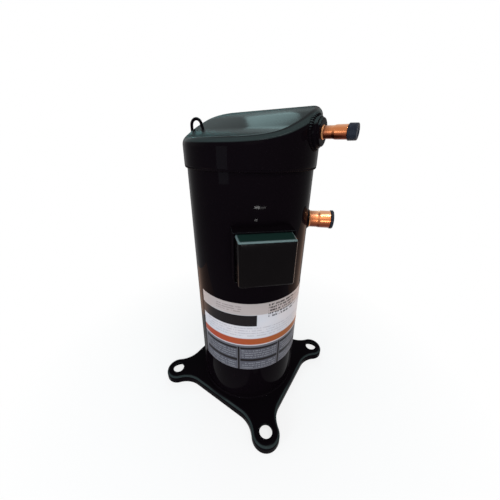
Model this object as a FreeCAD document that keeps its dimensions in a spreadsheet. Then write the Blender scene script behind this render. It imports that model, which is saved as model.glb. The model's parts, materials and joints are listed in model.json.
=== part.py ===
import FreeCAD, Part
import math
import os

import Sketcher
from FreeCAD import Placement, Rotation, Vector

# A hermetic scroll compressor for air conditioning, built the way it comes apart on a bench.
# Millimetres and degrees. The origin is on the shell's axis, in the plane the feet stand on; +Z is up
# and the row of mounting holes lies along X and Y. Azimuths are turned about +Z from +X.

NODE_FOLDER = "parts"
EDGE_LIMIT = 0.01

SIZES = {
    # welded shell
    "shell_radius": 82.55,
    "shell_wall": 3.2,
    "shell_top": 383,
    "tool_overrun": 20,
    # stamped base with four ears
    "plate_top": 15,
    "plate_thickness": 3.5,
    "plate_bend": 4,
    "side_overhang": 10.95,
    "hole_row_step": 1.75,
    "hole_radius": 9.5,
    "ear_radius": 21,
    "ear_blend": 40,
    "base_fit_gap": 0.15,
    "base_hub_height": 7,
    "base_hub_land": 7,
    "sump_step": 27.35,
    "sump_depth": 5,
    # drawn cap with its ramped roof
    "cap_wall": 2.9,
    "cap_slip": 0.05,
    "cap_lap": 7,
    "roof_azimuth": 87,
    "roof_shelf_height": 407.2,
    "roof_valley_inset": 30.7,
    "roof_crest_inset": 56.2,
    "roof_ramp_angle": 24,
    "roof_plateau_angle": 2,
    "roof_valley_radius": 130,
    "roof_crest_radius": 170,
    "roof_rim_radius": 10,
    "roof_inner_bevel": 5,
    # plate that keeps the discharge gas apart from the suction gas
    "muffler_thickness": 4,
    "muffler_rim_gap": 0.05,
    "muffler_rim_width": 8,
    "muffler_drop": 11.5,
    "muffler_floor_step": 15.35,
    "muffler_hole_radius": 14,
    "relief_circle": 42,
    "relief_hex_radius": 7,
    "relief_height": 9,
    "relief_shank_radius": 4,
    "relief_azimuth": 150,
    # discharge fitting, its check valve, its tube and its plug
    "discharge_azimuth": 0,
    "discharge_height": 413,
    "fitting_length": 30.5,
    "fitting_radius": 14.2,
    "fitting_gap": 0.1,
    "fitting_proud": 7,
    "fitting_collar_radius": 16.5,
    "fitting_collar_proud": 4.5,
    "fitting_collar_root": 8,
    "valve_chamber_radius": 11,
    "valve_seat_thickness": 4,
    "valve_port_radius": 2,
    "valve_port_circle": 7,
    "valve_disc_radius": 9.5,
    "valve_disc_thickness": 1,
    "valve_disc_hole": 3.2,
    "valve_travel": 3,
    "valve_gap": 0.3,
    "discharge_tube_radius": 6.5,
    "discharge_bell_radius": 7.15,
    "discharge_tube_wall": 0.75,
    "discharge_socket": 12,
    "discharge_stand_out": 32.5,
    "discharge_bell_length": 12,
    # suction collar, its tube and its plug
    "suction_azimuth": 26.3,
    "suction_height": 305.5,
    "suction_collar_radius": 13,
    "suction_collar_proud": 2,
    "suction_collar_root": 9.35,
    "suction_tube_radius": 11.4,
    "suction_bell_radius": 12,
    "suction_tube_wall": 0.9,
    "suction_intrusion": 2,
    "suction_stand_out": 30.45,
    "suction_bell_length": 14,
    "swage_length": 3,
    # shipping plugs
    "plug_gap": 0.3,
    "plug_bore_gap": 0.08,
    "plug_shank_length": 9,
    "plug_lead": 1.5,
    "suction_plug_rim": 0.9,
    "suction_plug_head": 4,
    "discharge_plug_rim": 1.05,
    "discharge_plug_head": 9,
    # gas deflector behind the suction tube
    "baffle_sweep": 32,
    "baffle_wall": 0.8,
    "baffle_stand_off": 5,
    "baffle_height": 42,
    "baffle_flange_angle": 0.8,
    # lifting lug
    "lug_azimuth": 192.5,
    "lug_rod_radius": 2,
    "lug_inner_inset": 13.5,
    "lug_top": 433.3,
    "lug_weld_length": 14,
    # terminal box
    "terminal_azimuth": -47,
    "terminal_height": 285,
    "flat_depth": 2.55,
    "terminal_flat_width": 44,
    "terminal_flat_height": 46,
    "terminal_flange_radius": 18.5,
    "terminal_flange_thickness": 2,
    "terminal_cup_radius": 14.8,
    "terminal_cup_gap": 0.1,
    "terminal_cup_depth": 6.5,
    "terminal_cup_wall": 2,
    "terminal_glass_radius": 3,
    "terminal_pin_radius": 1.6,
    "terminal_pin_circle": 8.5,
    "pin_inner_run": 7,
    "pin_outer_run": 14,
    "fence_width": 70,
    "fence_height": 62,
    "fence_wall": 1.6,
    "fence_stand_out": 15.45,
    "cable_entry_radius": 6.5,
    "cable_entry_inset": 10,
    "cable_entry_offset": 20,
    "cover_gap": 0.6,
    "cover_wall": 2,
    "cover_tuck": 3.5,
    "cover_stand_out": 18,
    "cover_draft_angle": 4,
    "cover_corner": 3,
    "ground_tab_side": 12,
    "ground_tab_thickness": 2.5,
    "ground_tab_inset": 12,
    "ground_head_radius": 4.5,
    "ground_head_height": 3,
    "ground_shank_radius": 2.2,
    "ground_shank_length": 7,
    # bare label round the shell
    "label_thickness": 0.25,
    "label_gap": 0.05,
    "label_bottom": 84,
    "label_height": 125,
    "label_start": -111,
    "label_sweep": 131,
    # scroll set
    "wrap_end_gap": 0.1171,
    "wrap_thickness": 4,
    "wrap_height": 26,
    "wrap_sides": 12,
    "wrap_first_arc": 5,
    "wrap_last_arc": 33,
    "flank_gap": 0.3,
    "tip_gap": 0.3,
    "thrust_height": 300,
    "thrust_gap": 0.2,
    "plate_side_gap": 3.25,
    "orbiting_plate_thickness": 9,
    "orbiting_hub_radius": 19.5,
    "orbiting_hub_depth": 21,
    "fixed_wall_thickness": 4.5,
    "fixed_wall_clearance": 10.85,
    "fixed_plate_thickness": 10,
    "fixed_port_radius": 6,
    "fixed_hub_radius": 21,
    "fixed_hub_height": 16.5,
    "recess_rim_wall": 6.7,
    "recess_rim_step": 13.5,
    "recess_rim_height": 22.5,
    "inlet_width": 34,
    "inlet_height": 16,
    "float_travel": 1,
    # floating seal
    "seal_gap": 0.3,
    "seal_side_gap": 0.8,
    "seal_lip_gap": 0.05,
    "seal_lip_thickness": 1,
    "seal_lip_width": 5,
    "seal_base_thickness": 9.2,
    "seal_plate_thickness": 6,
    "seal_crown_width": 4.5,
    "seal_travel": 1,
    # ring that stops the orbiting scroll from turning
    "oldham_width": 10.3,
    "oldham_side_gap": 0.75,
    "oldham_thickness": 6,
    "oldham_gap": 0.3,
    "oldham_key_width": 8,
    "oldham_key_height": 4.5,
    "oldham_key_step": 0.8,
    "oldham_key_margin": 1.5,
    "oldham_slot_gap": 0.15,
    # main bearing housing
    "housing_shell_gap": 0.05,
    "housing_floor": 276,
    "housing_bottom": 244,
    "housing_hub_radius": 26,
    "housing_bowl_radius": 36,
    "housing_pocket_radius": 28,
    "housing_disc_gap": 9.85,
    "housing_disc_top": 292,
    "housing_disc_thickness": 6,
    "thrust_ring_gap": 0.45,
    "post_depth": 10.35,
    "post_foot": 268,
    "post_sweep": 18,
    "post_first_azimuth": -10.35,
    "post_inset": 6.15,
    "sleeve_radius": 4,
    "sleeve_bore": 2.55,
    "sleeve_side_gap": 0.1,
    "bolt_radius": 2.5,
    "bolt_head_radius": 5.4,
    "bolt_head_height": 4,
    "bolt_grip": 14,
    "lug_thickness": 10,
    "lug_sweep": 15,
    # crankshaft and its bearings
    "main_journal_radius": 15,
    "main_bearing_wall": 2.45,
    "running_gap": 0.05,
    "shaft_radius": 14,
    "lower_journal_radius": 11,
    "lower_journal_length": 32,
    "shaft_bottom": 52.2,
    "crank_pin_radius": 9,
    "crank_pin_length": 21,
    "crank_pin_flat": 7,
    "oil_bore_radius": 6.5,
    "oil_bore_depth": 42,
    "oil_hole_radius": 2.3,
    "oil_hole_lean": 1.5,
    "bushing_radius": 13.5,
    "bushing_length": 18,
    "bushing_lift": 3,
    "hub_bearing_wall": 1.95,
    "stirrer_thickness": 1.2,
    "stirrer_length": 34,
    # motor
    "stator_bottom": 112,
    "stator_height": 88,
    "stator_bore": 38.5,
    "stator_flat_depth": 5.85,
    "slot_count": 24,
    "slot_width": 6,
    "slot_inner": 42,
    "yoke_width": 16.85,
    "slot_mouth": 2.4,
    "slot_liner": 0.25,
    "winding_inner": 44,
    "winding_shell_gap": 9.35,
    "winding_rise": 32,
    "winding_drop": 28,
    "winding_bevel": 6,
    "winding_gap": 0.3,
    "air_gap": 0.5,
    "end_ring_inner": 22,
    "end_ring_outer": 36,
    "end_ring_height": 8,
    "upper_weight_radius": 36,
    "upper_weight_height": 18,
    "lower_weight_radius": 33,
    "lower_weight_height": 12,
    "protector_radius": 5,
    "protector_length": 22,
    "protector_azimuth": 200,
    "protector_inset": 23.35,
    "lead_radius": 1.4,
    "lead_landing": 6,
    # lower bearing
    "lower_housing_bottom": 46,
    "lower_housing_height": 36,
    "lower_housing_radius": 21,
    "lower_housing_lip": 4,
    "lower_housing_mouth": 7.5,
    "lower_bearing_radius": 14,
    "thrust_washer_thickness": 2,
    "arm_count": 3,
    "arm_width": 16,
    "arm_thickness": 10,
    "arm_rise": 8,
    "arm_foot_thickness": 4,
    "arm_foot_height": 26,
    "shield_wall": 1.2,
    "shield_radius": 36.7,
    "shield_height": 21,
}

doc = FreeCAD.newDocument("ScrollCompressor")
sheet = doc.addObject("Spreadsheet::Sheet", "Sizes")
for row, (alias, value) in enumerate(SIZES.items(), start=1):
    sheet.set("A%d" % row, alias.replace("_", " "))
    sheet.set("B%d" % row, str(value))
    sheet.setAlias("B%d" % row, alias)
doc.recompute()


class Size:
    """A number that also keeps the spreadsheet expression it came from, so a property can be bound to it."""

    def __init__(self, number, text):
        self.number = float(number)
        self.text = text

    def __add__(self, other):
        other = sized(other)
        return Size(self.number + other.number, "(%s + %s)" % (self.text, other.text))

    def __radd__(self, other):
        return sized(other) + self

    def __sub__(self, other):
        other = sized(other)
        return Size(self.number - other.number, "(%s - %s)" % (self.text, other.text))

    def __rsub__(self, other):
        return sized(other) - self

    def __mul__(self, other):
        other = sized(other)
        return Size(self.number * other.number, "(%s * %s)" % (self.text, other.text))

    def __rmul__(self, other):
        return sized(other) * self

    def __truediv__(self, other):
        other = sized(other)
        return Size(self.number / other.number, "(%s / %s)" % (self.text, other.text))

    def __neg__(self):
        return Size(-self.number, "(0 - %s)" % self.text)


def sized(value):
    """Any plain number as a Size."""
    if isinstance(value, Size):
        return value
    return Size(value, "%r" % float(value))


def cos(angle):
    return Size(math.cos(math.radians(angle.number)), "cos(%s)" % angle.text)


def sin(angle):
    return Size(math.sin(math.radians(angle.number)), "sin(%s)" % angle.text)


def tan(angle):
    return Size(math.tan(math.radians(angle.number)), "tan(%s)" % angle.text)


class Dimensions:
    """Every cell of the sheet as an attribute."""


dim = Dimensions()
for alias, value in SIZES.items():
    setattr(dim, alias, Size(value, "Sizes." + alias))

nodes = []


def bind(thing, name, size):
    """Sets one property of an object to a Size and ties it to the sheet."""
    size = sized(size)
    thing.setExpression(name, size.text)


def put(thing, x=0, y=0, z=0, turn=0):
    """Places an object at x, y, z, turned about +Z, all tied to the sheet."""
    thing.Placement = Placement(
        Vector(sized(x).number, sized(y).number, sized(z).number),
        Rotation(Vector(0, 0, 1), sized(turn).number),
    )
    for axis, size in (("x", x), ("y", y), ("z", z)):
        bind(thing, "Placement.Base." + axis, size)
    if sized(turn).number:
        bind(thing, "Placement.Rotation.Angle", turn)
    return thing


def node(thing, label):
    """Marks an object as a finished piece of the compressor."""
    thing.Label = label
    nodes.append(thing)
    return thing


def origin_plane(body, role):
    for feature in body.Origin.OriginFeatures:
        if feature.Role == role:
            return feature
    raise ValueError("no origin plane " + role)


def new_body(name):
    return doc.addObject("PartDesign::Body", name)


def new_sketch(body, name, role):
    sketch = body.newObject("Sketcher::SketchObject", name)
    sketch.AttachmentSupport = (origin_plane(body, role), [""])
    sketch.MapMode = "FlatFace"
    return sketch


def hold_point(sketch, geometry, point, x, y):
    """Holds a sketch point by its two distances from the origin."""
    for kind, axis, size in (("DistanceX", -2, x), ("DistanceY", -1, y)):
        size = sized(size)
        if abs(size.number) < EDGE_LIMIT:
            sketch.addConstraint(Sketcher.Constraint("PointOnObject", geometry, point, axis))
            continue
        held = Sketcher.Constraint(kind, -1, 1, geometry, point, size.number)
        place = sketch.addConstraint(held)
        sketch.setExpression("Constraints[%d]" % place, size.text)


def outline(sketch, corners):
    """A closed outline of straight sides through corners given as pairs of Sizes."""
    points = [Vector(sized(x).number, sized(y).number, 0) for x, y in corners]
    count = len(points)
    first = sketch.GeometryCount
    for i in range(count):
        sketch.addGeometry(Part.LineSegment(points[i], points[(i + 1) % count]), False)
    for i in range(count):
        after = first + (i + 1) % count
        sketch.addConstraint(Sketcher.Constraint("Coincident", first + i, 2, after, 1))
    for i, (x, y) in enumerate(corners):
        hold_point(sketch, first + i, 1, x, y)


def turned(name, corners, axis="V_Axis"):
    """A body turned from a straight-sided outline: about Z, or about X when axis is H_Axis."""
    body = new_body(name)
    sketch = new_sketch(body, name + "_outline", "XZ_Plane")
    outline(sketch, corners)
    turn = body.newObject("PartDesign::Revolution", name + "_turn")
    turn.Profile = sketch
    turn.ReferenceAxis = (sketch, [axis])
    turn.Angle = 360
    sketch.Visibility = False
    return body


def ring(name, inner, outer, bottom, top):
    """A plain ring or tube about Z."""
    return turned(name, [(inner, bottom), (outer, bottom), (outer, top), (inner, top)])


def tube_along_x(name, inner, outer, start, end):
    """A plain tube about X."""
    corners = [(start, inner), (end, inner), (end, outer), (start, outer)]
    return turned(name, corners, "H_Axis")


def cylinder(name, radius, height, x=0, y=0, z=0, sweep=None, turn=0):
    """A cylinder standing on x, y, z, or a slice of one that starts at the azimuth turn."""
    made = doc.addObject("Part::Cylinder", name)
    bind(made, "Radius", radius)
    bind(made, "Height", height)
    if sweep is not None:
        bind(made, "Angle", sweep)
    return put(made, x, y, z, turn)


def cylinder_along_x(name, radius, start, end, y=0, z=0):
    """A cylinder lying along X from start to end."""
    made = doc.addObject("Part::Cylinder", name)
    bind(made, "Radius", radius)
    bind(made, "Height", sized(end) - start)
    made.Placement = Placement(Vector(0, 0, 0), Rotation(Vector(0, 1, 0), 90))
    for axis, size in (("x", start), ("y", y), ("z", z)):
        bind(made, "Placement.Base." + axis, size)
    return made


def box(name, low, high):
    """A box from its lowest to its highest corner."""
    made = doc.addObject("Part::Box", name)
    sides = [sized(b) - sized(a) for a, b in zip(low, high)]
    for property_name, side in zip(("Length", "Width", "Height"), sides):
        bind(made, property_name, side)
    return put(made, *low)


def fuse(name, parts, turn=0, height=0):
    made = doc.addObject("Part::MultiFuse", name)
    made.Shapes = parts
    return put(made, 0, 0, height, turn)


def common(name, parts, turn=0):
    made = doc.addObject("Part::MultiCommon", name)
    made.Shapes = parts
    return put(made, 0, 0, 0, turn)


def cut(name, base, tools, turn=0, height=0):
    """The base less every tool."""
    tool = tools[0]
    if len(tools) > 1:
        tool = doc.addObject("Part::MultiFuse", name + "_tools")
        tool.Shapes = tools
    made = doc.addObject("Part::Cut", name)
    made.Base = base
    made.Tool = tool
    return put(made, 0, 0, height, turn)


def group(name, parts, turn=0, height=0):
    """Separate solids that share one node."""
    made = doc.addObject("Part::Compound", name)
    made.Links = parts
    return put(made, 0, 0, height, turn)


def sector(name, inner, outer, bottom, height, middle, sweep):
    """A curved block between two radii, centred on an azimuth."""
    start = sized(middle) - sized(sweep) / 2
    slab = cylinder(name + "_slice", outer, height, z=bottom, sweep=sweep, turn=start)
    core = cylinder(name + "_core", inner, sized(height) + 2, z=sized(bottom) - 1)
    return cut(name, slab, [core])


def fillet(body, name, radius, edges):
    """Rounds named edges of a body's tip."""
    before = body.Tip
    rounding = body.newObject("PartDesign::Fillet", name)
    rounding.Base = (before, edges)
    bind(rounding, "Radius", radius)
    return rounding


def chamfer(body, name, size, edges):
    """Bevels named edges of a body's tip."""
    before = body.Tip
    bevel = body.newObject("PartDesign::Chamfer", name)
    bevel.Base = (before, edges)
    bind(bevel, "Size", size)
    return bevel


def edges_where(shape, test):
    """The names of the edges that pass a test on the edge."""
    return ["Edge%d" % (i + 1) for i, edge in enumerate(shape.Edges) if test(edge)]


def is_upright(edge):
    """True for a straight edge that runs along Z."""
    first, last = edge.Vertexes[0].Point, edge.Vertexes[-1].Point
    level = math.hypot(first.x - last.x, first.y - last.y)
    return level < EDGE_LIMIT and abs(first.z - last.z) > EDGE_LIMIT


# Values that several pieces share
shell_bore = dim.shell_radius - dim.shell_wall
cap_bore = dim.shell_radius + dim.cap_slip
cap_radius = cap_bore + dim.cap_wall
cap_bottom = dim.shell_top - dim.cap_lap
side_reach = dim.shell_radius + dim.side_overhang
hole_spacing = (side_reach + dim.hole_row_step) * 2
sump_radius = shell_bore - dim.sump_step
roof_valley_reach = cap_radius - dim.roof_valley_inset
roof_crest_reach = cap_radius - dim.roof_crest_inset
lug_inner_circle = cap_radius - dim.lug_inner_inset
muffler_floor_radius = shell_bore - dim.muffler_floor_step
fitting_face = cap_radius + dim.fitting_proud
fitting_inner_end = fitting_face - dim.fitting_length
fitting_collar_face = cap_radius + dim.fitting_collar_proud
discharge_reach = cap_radius + dim.discharge_stand_out
suction_collar_face = dim.shell_radius + dim.suction_collar_proud
suction_reach = dim.shell_radius + dim.suction_stand_out
terminal_flat = dim.shell_radius - dim.flat_depth
terminal_pin_inside = terminal_flat - dim.pin_inner_run
terminal_pin_outside = terminal_flat + dim.pin_outer_run
fence_face = dim.shell_radius + dim.fence_stand_out
cable_entry_reach = fence_face - dim.cable_entry_inset
cover_rear = fence_face - dim.cover_tuck
cover_face = fence_face + dim.cover_stand_out
ground_tab_face = fence_face - dim.ground_tab_inset
post_circle = shell_bore - dim.post_inset
post_inner_radius = shell_bore - dim.post_depth
housing_disc_radius = shell_bore - dim.housing_disc_gap
fixed_wall_radius = shell_bore - dim.fixed_wall_clearance
fixed_wall_bore = fixed_wall_radius - dim.fixed_wall_thickness
recess_rim_radius = fixed_wall_radius - dim.recess_rim_step
recess_radius = recess_rim_radius - dim.recess_rim_wall
wrap_end_turn = (dim.wrap_last_arc + 0.5) * (2 * math.pi) / dim.wrap_sides + math.pi
base_circle = (fixed_wall_bore + dim.wrap_thickness / 2 + dim.flank_gap - dim.wrap_end_gap) / wrap_end_turn
eccentricity = math.pi * base_circle - dim.wrap_thickness - dim.flank_gap
orbiting_plate_radius = post_inner_radius - eccentricity - dim.plate_side_gap
oldham_radius = post_inner_radius - eccentricity - dim.oldham_side_gap
oldham_bore = oldham_radius - dim.oldham_width
oldham_key_inner = oldham_bore + dim.oldham_key_step
oldham_key_outer = oldham_radius - dim.oldham_key_margin
thrust_ring_radius = oldham_bore - eccentricity - dim.thrust_ring_gap
stator_flat = shell_bore - dim.stator_flat_depth
slot_outer = shell_bore - dim.yoke_width
winding_outer = shell_bore - dim.winding_shell_gap
protector_circle = shell_bore - dim.protector_inset
stator_top = dim.stator_bottom + dim.stator_height
orbiting_bottom = dim.thrust_height + dim.thrust_gap
orbiting_top = orbiting_bottom + dim.orbiting_plate_thickness
fixed_bottom = orbiting_top + dim.wrap_height + dim.tip_gap
fixed_top = fixed_bottom + dim.fixed_plate_thickness
post_top = fixed_bottom - dim.thrust_gap
sleeve_top = fixed_bottom + dim.lug_thickness + dim.float_travel + dim.seal_gap
muffler_floor = dim.shell_top - dim.muffler_drop
crank_bottom = dim.housing_floor + 0.5
post_azimuths = [dim.post_first_azimuth + 90 * i for i in range(4)]


# ---------------------------------------------------------------- welded outside

def pan(name, inset, bevel):
    """The base's outline drawn inwards by inset, as a solid block with its top edge turned down."""
    body = new_body(name)
    half = side_reach - inset
    plan = new_sketch(body, name + "_sides", "XY_Plane")
    outline(plan, [(-half, -half), (half, -half), (half, half), (-half, half)])
    block = body.newObject("PartDesign::Pad", name + "_block")
    block.Profile = plan
    bind(block, "Length", dim.plate_top - inset)
    ear = new_sketch(body, name + "_ear", "XY_Plane")
    centre = hole_spacing / 2
    radius = dim.ear_radius - inset
    ear.addGeometry(Part.Circle(Vector(centre.number, centre.number, 0), Vector(0, 0, 1), radius.number), False)
    hold_point(ear, 0, 3, centre, centre)
    held = ear.addConstraint(Sketcher.Constraint("Radius", 0, radius.number))
    ear.setExpression("Constraints[%d]" % held, radius.text)
    pad = body.newObject("PartDesign::Pad", name + "_ear_pad")
    pad.Profile = ear
    bind(pad, "Length", dim.plate_top - inset)
    ears = body.newObject("PartDesign::PolarPattern", name + "_ears")
    ears.Originals = [pad]
    ears.Axis = (plan, ["N_Axis"])
    ears.Angle = 360
    ears.Occurrences = 4
    body.Tip = ears
    doc.recompute()
    reach = half.number

    def is_waist(edge):
        corner = edge.Vertexes[0]
        far, near = max(abs(corner.X), abs(corner.Y)), min(abs(corner.X), abs(corner.Y))
        return is_upright(edge) and abs(far - reach) < EDGE_LIMIT and near < reach - EDGE_LIMIT

    fillet(body, name + "_waists", dim.ear_blend + inset, edges_where(body.Shape, is_waist))
    doc.recompute()
    top = (dim.plate_top - inset).number

    def is_rim(edge):
        return all(abs(v.Z - top) < EDGE_LIMIT for v in edge.Vertexes)

    chamfer(body, name + "_bend", bevel, edges_where(body.Shape, is_rim))
    return body


def base_plate():
    """A pressed pan with a turned-down skirt, four drilled ears and a dished middle that closes the shell."""
    outside = pan("pan_outside", 0, dim.plate_bend)
    inside = pan("pan_inside", dim.plate_thickness, dim.plate_bend / 2)
    hub = shell_bore - dim.base_fit_gap
    opening = cylinder("pan_opening", hub - dim.plate_thickness / 2, dim.plate_top + 2, z=-1)
    half = hole_spacing / 2
    holes = []
    for i, (x, y) in enumerate(((1, 1), (-1, 1), (-1, -1), (1, -1))):
        holes.append(cylinder("foot_hole_%d" % i, dim.hole_radius, dim.plate_top + 2, half * x, half * y, -1))
    tray = cut("pan_tray", outside, [inside, opening] + holes)
    top = dim.plate_top
    crown = top + dim.base_hub_height
    floor = top - dim.sump_depth
    sheet_gauge = dim.plate_thickness
    land = hub - dim.base_hub_land
    dish = turned(
        "pan_dish",
        [
            (hub, top - sheet_gauge),
            (hub, crown),
            (land, crown),
            (sump_radius, floor),
            (0, floor),
            (0, floor - sheet_gauge),
            (sump_radius - sheet_gauge / 2, floor - sheet_gauge),
            (land - sheet_gauge / 2, crown - sheet_gauge),
            (hub - sheet_gauge, crown - sheet_gauge),
            (hub - sheet_gauge, top - sheet_gauge),
        ],
    )
    node(fuse("base", [tray, dish]), "base_plate")


def shell_envelope(name):
    """The shell's outside with the flat that the terminal is welded to, in the terminal's own frame."""
    round_part = cylinder(name + "_round", dim.shell_radius, dim.shell_top + 10)
    half = dim.terminal_flat_width / 2
    rise = dim.terminal_flat_height / 2
    low = (terminal_flat, -half, dim.terminal_height - rise)
    high = (terminal_flat + dim.tool_overrun, half, dim.terminal_height + rise)
    return cut(name, round_part, [box(name + "_flat", low, high)])


def center_shell():
    """A rolled tube with a pressed flat for the terminal and two holes."""
    tube = ring("shell_tube", shell_bore, dim.shell_radius, dim.plate_top, dim.shell_top)
    half = dim.terminal_flat_width / 2
    rise = dim.terminal_flat_height / 2
    low = (terminal_flat, -half, dim.terminal_height - rise)
    high = (terminal_flat + dim.tool_overrun, half, dim.terminal_height + rise)
    pressed = box("shell_pressed", low, high)
    back_low = (terminal_flat - dim.shell_wall, -half, dim.terminal_height - rise)
    back_high = (terminal_flat, half, dim.terminal_height + rise)
    back = box("shell_back_block", back_low, back_high)
    around = cylinder("shell_back_limit", dim.shell_radius, dim.shell_top)
    backing = common("shell_backing", [back, around])
    hole = cylinder_along_x(
        "terminal_hole",
        dim.terminal_cup_radius + dim.terminal_cup_gap,
        shell_bore - dim.tool_overrun,
        dim.shell_radius + dim.tool_overrun,
        z=dim.terminal_height,
    )
    flattened = fuse("shell_flattened", [cut("shell_pressed_tube", tube, [pressed]), backing])
    bored = cut("shell_bored", flattened, [hole], turn=dim.terminal_azimuth)
    inlet = cylinder_along_x(
        "suction_hole",
        dim.suction_tube_radius,
        shell_bore - dim.tool_overrun,
        dim.shell_radius + dim.tool_overrun,
        z=dim.suction_height,
    )
    inlet_turned = group("suction_hole_turned", [inlet], turn=dim.suction_azimuth)
    node(cut("shell", bored, [inlet_turned]), "center_shell")


def roof_profile(body, name, inset):
    """Everything above the roof: a shelf, a concave bend, a ramp, a convex bend and a plateau, lowered by inset."""
    sketch = new_sketch(body, name, "XZ_Plane")
    reach = cap_radius + dim.tool_overrun
    ceiling = dim.shell_top + cap_radius + dim.tool_overrun
    ramp = dim.roof_ramp_angle
    plateau = dim.roof_plateau_angle
    slope = tan(ramp)
    half_ramp = ramp / 2
    valley_x = -roof_valley_reach + tan(half_ramp) * inset
    valley_z = dim.roof_shelf_height - inset
    lean = (ramp + plateau) / 2
    spread = cos((ramp - plateau) / 2)
    crest_rise = slope * (roof_crest_reach + roof_valley_reach)
    crest_x = roof_crest_reach + sin(lean) / spread * inset
    crest_z = dim.roof_shelf_height + crest_rise - cos(lean) / spread * inset
    valley_radius = dim.roof_valley_radius + inset
    crest_radius = dim.roof_crest_radius - inset
    valley_run = valley_radius * tan(half_ramp)
    crest_run = crest_radius * tan((ramp - plateau) / 2)
    end_z = crest_z + tan(plateau) * (reach - crest_x)
    shelf_end = (valley_x - valley_run, valley_z)
    ramp_start = (valley_x + valley_run * cos(ramp), valley_z + valley_run * sin(ramp))
    ramp_end = (crest_x - crest_run * cos(ramp), crest_z - crest_run * sin(ramp))
    plateau_start = (crest_x + crest_run * cos(plateau), crest_z + crest_run * sin(plateau))
    stops = [
        (-reach, valley_z),
        shelf_end,
        ramp_start,
        ramp_end,
        plateau_start,
        (reach, end_z),
        (reach, ceiling),
        (-reach, ceiling),
    ]
    points = [Vector(sized(x).number, sized(z).number, 0) for x, z in stops]
    valley_centre = Vector(shelf_end[0].number, (valley_z + valley_radius).number, 0)
    crest_centre = Vector(
        (plateau_start[0] + crest_radius * sin(plateau)).number,
        (plateau_start[1] - crest_radius * cos(plateau)).number,
        0,
    )
    right = math.radians(-90)
    valley_arc = Part.ArcOfCircle(
        Part.Circle(valley_centre, Vector(0, 0, 1), valley_radius.number), right, right + math.radians(ramp.number)
    )
    crest_arc = Part.ArcOfCircle(
        Part.Circle(crest_centre, Vector(0, 0, 1), crest_radius.number),
        math.radians(90 + plateau.number),
        math.radians(90 + ramp.number),
    )
    sketch.addGeometry(Part.LineSegment(points[0], points[1]), False)
    sketch.addGeometry(valley_arc, False)
    sketch.addGeometry(Part.LineSegment(points[2], points[3]), False)
    sketch.addGeometry(crest_arc, False)
    for i in (4, 5, 6, 7):
        sketch.addGeometry(Part.LineSegment(points[i], points[(i + 1) % 8]), False)
    joints = [(0, 2, 1, 1), (1, 2, 2, 1), (2, 2, 3, 2), (3, 1, 4, 1)]
    joints += [(4, 2, 5, 1), (5, 2, 6, 1), (6, 2, 7, 1), (7, 2, 0, 1)]
    for first, first_end, second, second_end in joints:
        sketch.addConstraint(Sketcher.Constraint("Coincident", first, first_end, second, second_end))
    starts = [(0, 1), (0, 2), (2, 1), (2, 2), (4, 1), (5, 1), (6, 1), (7, 1)]
    for (geometry, end), (x, z) in zip(starts, stops):
        hold_point(sketch, geometry, end, x, z)
    for geometry, radius in ((1, valley_radius), (3, crest_radius)):
        held = sketch.addConstraint(Sketcher.Constraint("Radius", geometry, radius.number))
        sketch.setExpression("Constraints[%d]" % held, radius.text)
    return sketch


def cap_block(name, inset, ease):
    """A solid cylinder under the ramped roof, drawn inwards by inset, with its rim eased by a given operation."""
    body = new_body(name)
    radius = cap_radius - inset
    wall = new_sketch(body, name + "_wall", "XZ_Plane")
    top = dim.shell_top + cap_radius
    outline(wall, [(0, cap_bottom), (radius, cap_bottom), (radius, top), (0, top)])
    blank = body.newObject("PartDesign::Revolution", name + "_blank")
    blank.Profile = wall
    blank.ReferenceAxis = (wall, ["V_Axis"])
    blank.Angle = 360
    roof = roof_profile(body, name + "_roof_line", inset)
    trim = body.newObject("PartDesign::Pocket", name + "_roof")
    trim.Profile = roof
    trim.Type = "ThroughAll"
    trim.Midplane = True
    doc.recompute()
    low = (dim.roof_shelf_height - inset).number - EDGE_LIMIT

    def is_roof_rim(edge):
        return edge.BoundBox.ZMin > low and all(
            abs(math.hypot(v.X, v.Y) - radius.number) < EDGE_LIMIT for v in edge.Vertexes
        ) and edge.BoundBox.DiagonalLength > 0.5 and not edge.isSeam(body.Shape.Faces[0])

    rim = edges_where(body.Shape, is_roof_rim)
    ease(body, name + "_rim", rim)
    return put(body, turn=dim.roof_azimuth)


def top_cap(outside):
    """The drawn cap, open below, with the hole for the discharge fitting."""
    inside = cap_block(
        "cap_inside", dim.cap_wall, lambda body, name, rim: chamfer(body, name, dim.roof_inner_bevel, rim)
    )
    hole = cylinder_along_x(
        "fitting_hole",
        dim.fitting_radius + dim.fitting_gap,
        cap_bore - dim.tool_overrun,
        cap_radius + dim.tool_overrun,
        z=dim.discharge_height,
    )
    turned_hole = group("fitting_hole_turned", [hole], turn=dim.discharge_azimuth)
    node(cut("cap", outside, [inside, turned_hole]), "top_cap")


def wrap_label():
    """A bare vinyl label that goes round the front of the shell."""
    middle = dim.label_start + dim.label_sweep / 2
    label = sector(
        "label",
        dim.shell_radius + dim.label_gap,
        dim.shell_radius + dim.label_gap + dim.label_thickness,
        dim.label_bottom,
        dim.label_height,
        middle,
        dim.label_sweep,
    )
    node(label, "wrap_label")


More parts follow.
